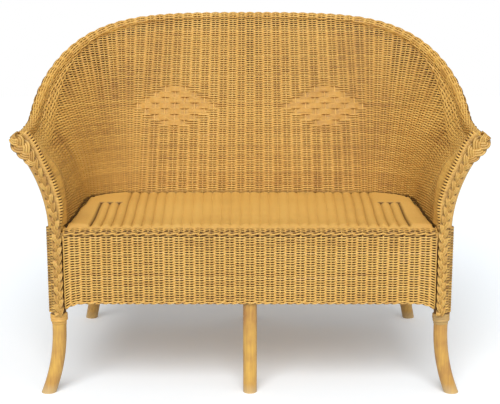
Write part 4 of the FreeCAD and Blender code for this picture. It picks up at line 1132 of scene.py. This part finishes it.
def skirt_wrap_point(place, height):
    """The skirt, with its front ends turned round the outer sides of the posts."""
    share = (SKIRT_TOP - height) / (SKIRT_TOP - APRON_BOTTOM)
    height = height - SKIRT_DROOP * smooth(*SKIRT_DROOP_PLACES, np.abs(place)) * share
    point = skirt_point(np.clip(place, -1, 1), height)
    start = math.asin(SKIRT_TOP_PLAN.front / SKIRT_WRAP)
    angle = start - np.maximum(np.abs(place) - 1, 0) * SKIRT_SIDE / SKIRT_WRAP
    x = np.copysign(POST_HALF + SKIRT_WRAP * np.cos(angle), place)
    round_post = at(x, SKIRT_WRAP * np.sin(angle), height)
    return np.where((np.abs(place) > 1)[..., None], round_post, point)


def weave_skirt():
    places = even_places(SKIRT_STAKES_PER_HALF, SKIRT_LOW_PLAN, SKIRT_TOP_PLAN, 0.5)
    middle = (1 + SKIRT_END) / 2
    places = np.concatenate([[-SKIRT_END, -middle], places, [middle, SKIRT_END]])
    order = np.arange(len(places))
    lower = Strands()
    upper = Strands()
    round_post = smooth(1.0, SKIRT_TURN_FULL, np.abs(places))
    rows = round((SKIRT_WOVEN_TOP - APRON_BOTTOM) / SKIRT_PITCH)
    for row in range(rows):
        level = APRON_BOTTOM + (row + 0.5) * SKIRT_PITCH
        shade = tone()
        shadow = rng.uniform(0.0, SKIRT_TURN_SHADOW) * round_post
        weave_row(lower if 2 * row < rows else upper, skirt_wrap_point, places, level,
                  plain_signs(order, row), PACKED * SKIRT_PITCH, shade, TIGHT_WANDER, shadow=shadow)
    for place in places:
        stake(upper, skirt_wrap_point, place, APRON_BOTTOM, SKIRT_WOVEN_TOP, points=10)
    lower.build("skirt_weave_lower", WOVEN, "woven_cane", "skirt_weave")
    upper.build("skirt_weave_upper", WOVEN, "woven_cane")


def plait_ledge():
    half = SEAT_PLAN.half + LEDGE_WIDEN
    corner = SEAT_PLAN.corner + LEDGE_WIDEN
    widened = Plan(half, half, SEAT_PLAN.back + LEDGE_WIDEN, corner, SEAT_PLAN.front)
    path = at(*plan_point(widened, np.linspace(-1, 1, PLAN_POINTS)), LEDGE_HEIGHT)
    plait("skirt_border", path, UPWARD, LEDGE_HALF_WIDTH, LEDGE_HALF_DEPTH, LEDGE_PERIOD)


def twist_hems():
    place = np.linspace(-1, 1, PLAN_POINTS)
    path = skirt_wrap_point(SKIRT_END * place, np.full(PLAN_POINTS, HEM_HEIGHT))
    rope("skirt_hem", PLAITED, path, UPWARD, HEM_RADIUS, HEM_PERIOD, HEM_CANE)
    x = np.linspace(-APRON_HALF, APRON_HALF, APRON_HEM_POINTS)
    path = at(x, -APRON_SETBACK, apron_low(x) + HEM_HEIGHT - APRON_BOTTOM)
    rope("apron_hem", PLAITED, path, FORWARD, HEM_RADIUS, HEM_PERIOD, HEM_CANE)


weave_skirt()
plait_ledge()
twist_hems()


# Poles and screws
POLE_DARK = (0.42, 0.20, 0.05)
POLE_LIGHT = (0.71, 0.42, 0.080)
POLE_DARK_AT = 0.28
POLE_LIGHT_AT = 0.51
POLE_GRAIN = 0.3
POLE_BLOTCH = 0.5
POLE_ROUGHNESS = 0.42
GRAIN_STRETCH = 0.08
WORN_FOOT = (0.60, 0.45, 0.24)
WORN_SHARE = 0.75
WORN_FULL = 0.025
WORN_TO = 0.055
WORN_UNEVEN = 0.06
STEEL_DARK = (0.30, 0.27, 0.23)
STEEL_LIGHT = (0.56, 0.54, 0.50)
STEEL_ROUGHNESS = 0.38


def pole_material(name, along):
    """Varnished rattan pole: grain along one axis, darker blotches here and there, feet worn pale."""
    look = new_material(name)
    place = look.object_place()
    stretch = [GRAIN_STRETCH if axis == along else 1 for axis in range(3)]
    grain_place = look.add("Mapping", {"Vector": place, "Scale": stretch}).outputs["Vector"]
    grain = look.noise(grain_place, scale=220.0, detail=6.0)["Fac"]
    blotch = look.noise(place, scale=14.0, detail=4.0)["Fac"]
    mixed = look.scaled(grain, POLE_GRAIN, look.scaled(blotch, POLE_BLOTCH))
    colour = look.ramp(mixed, [(POLE_DARK_AT, POLE_DARK), (POLE_LIGHT_AT, POLE_LIGHT)])
    height = look.scaled(blotch, WORN_UNEVEN, look.add("SeparateXYZ", {0: place}).outputs["Z"])
    worn = look.map_range(height, from_min=WORN_FULL, from_max=WORN_TO, to_min=WORN_SHARE, to_max=0.0)
    return look.done({
        "Base Color": look.mix(worn, colour, (*WORN_FOOT, 1)),
        "Roughness": POLE_ROUGHNESS,
        "Normal": look.bump(grain, strength=0.3, distance=0.0006),
    })


def steel_material():
    look = new_material("screw_steel")
    noise = look.add("TexNoise", {"Scale": 600.0}).outputs["Fac"]
    return look.done({
        "Base Color": look.ramp(noise, [(0, STEEL_DARK), (1, STEEL_LIGHT)]),
        "Metallic": 1.0,
        "Roughness": STEEL_ROUGHNESS,
    })


def dress_frame():
    """Each solid's own mesh gets grain along its longest side, and the screws get steel."""
    directions = enumerate(("cross", "deep", "upright"))
    poles = [pole_material("rattan_" + word, along) for along, word in directions]
    steel = steel_material()
    for name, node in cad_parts.items():
        low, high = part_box(name)
        reach = [high[axis] - low[axis] for axis in range(3)]
        chosen = steel if name == "frame_screws" else poles[reach.index(max(reach))]
        node.data.materials.clear()
        node.data.materials.append(chosen)


dress_frame()


# Stage, light and camera
WHITE = (1, 1, 1, 1)
FLOOR_REACH = 6.0
FLOOR_COLOUR = (0.90, 0.95, 0.995, 1)
FLOOR_ROUGHNESS = 0.9
FLOOR_LIFT = 0.140
SKY_LIGHT = 0.36
SKY_SEEN = 1.0
SENSOR_WIDTH = 36
LENS = 82.8
CAMERA_AHEAD = 2.772
CAMERA_HEIGHT = 1.084
CAMERA_TILT = math.radians(78)


def floor():
    corners = [(x * FLOOR_REACH, y * FLOOR_REACH, 0) for x, y in ((-1, -1), (1, -1), (1, 1), (-1, 1))]
    mesh = bpy.data.meshes.new("floor")
    mesh.from_pydata(corners, [], [(0, 1, 2, 3)])
    stage = new_object("floor", mesh)
    look = new_material("floor")
    mesh.materials.append(look.done({
        "Base Color": FLOOR_COLOUR,
        "Roughness": FLOOR_ROUGHNESS,
        "Emission Color": WHITE,
        "Emission Strength": look.map_range(look.seen(), to_max=FLOOR_LIFT),
    }))


def sun(name, aim, strength, spread):
    """A broad soft light from far away; aim is its tilt to the side and to the front, in degrees."""
    lamp = bpy.data.lights.new(name, "SUN")
    lamp.energy = strength
    lamp.angle = math.radians(spread)
    light = new_object(name, lamp)
    light.rotation_euler = (math.radians(-aim[1]), math.radians(aim[0]), 0)


def light_scene():
    look = Look(bpy.data.worlds.new("studio"), "Background")
    strength = look.map_range(look.seen(), to_min=SKY_LIGHT, to_max=SKY_SEEN)
    bpy.context.scene.world = look.done({"Color": WHITE, "Strength": strength})
    sun("key", aim=(-6, -46), strength=2.45, spread=40)
    sun("fill", aim=(25, -40), strength=0.5, spread=70)


def place_camera():
    data = bpy.data.cameras.new("camera")
    data.sensor_width = SENSOR_WIDTH
    data.lens = LENS
    camera = new_object("camera", data)
    camera.location = (0, FRONT - CAMERA_AHEAD, CAMERA_HEIGHT)
    camera.rotation_euler = (CAMERA_TILT, 0, 0)
    bpy.context.scene.camera = camera


floor()
light_scene()
place_camera()
bpy.context.scene.view_settings.view_transform = "Standard"
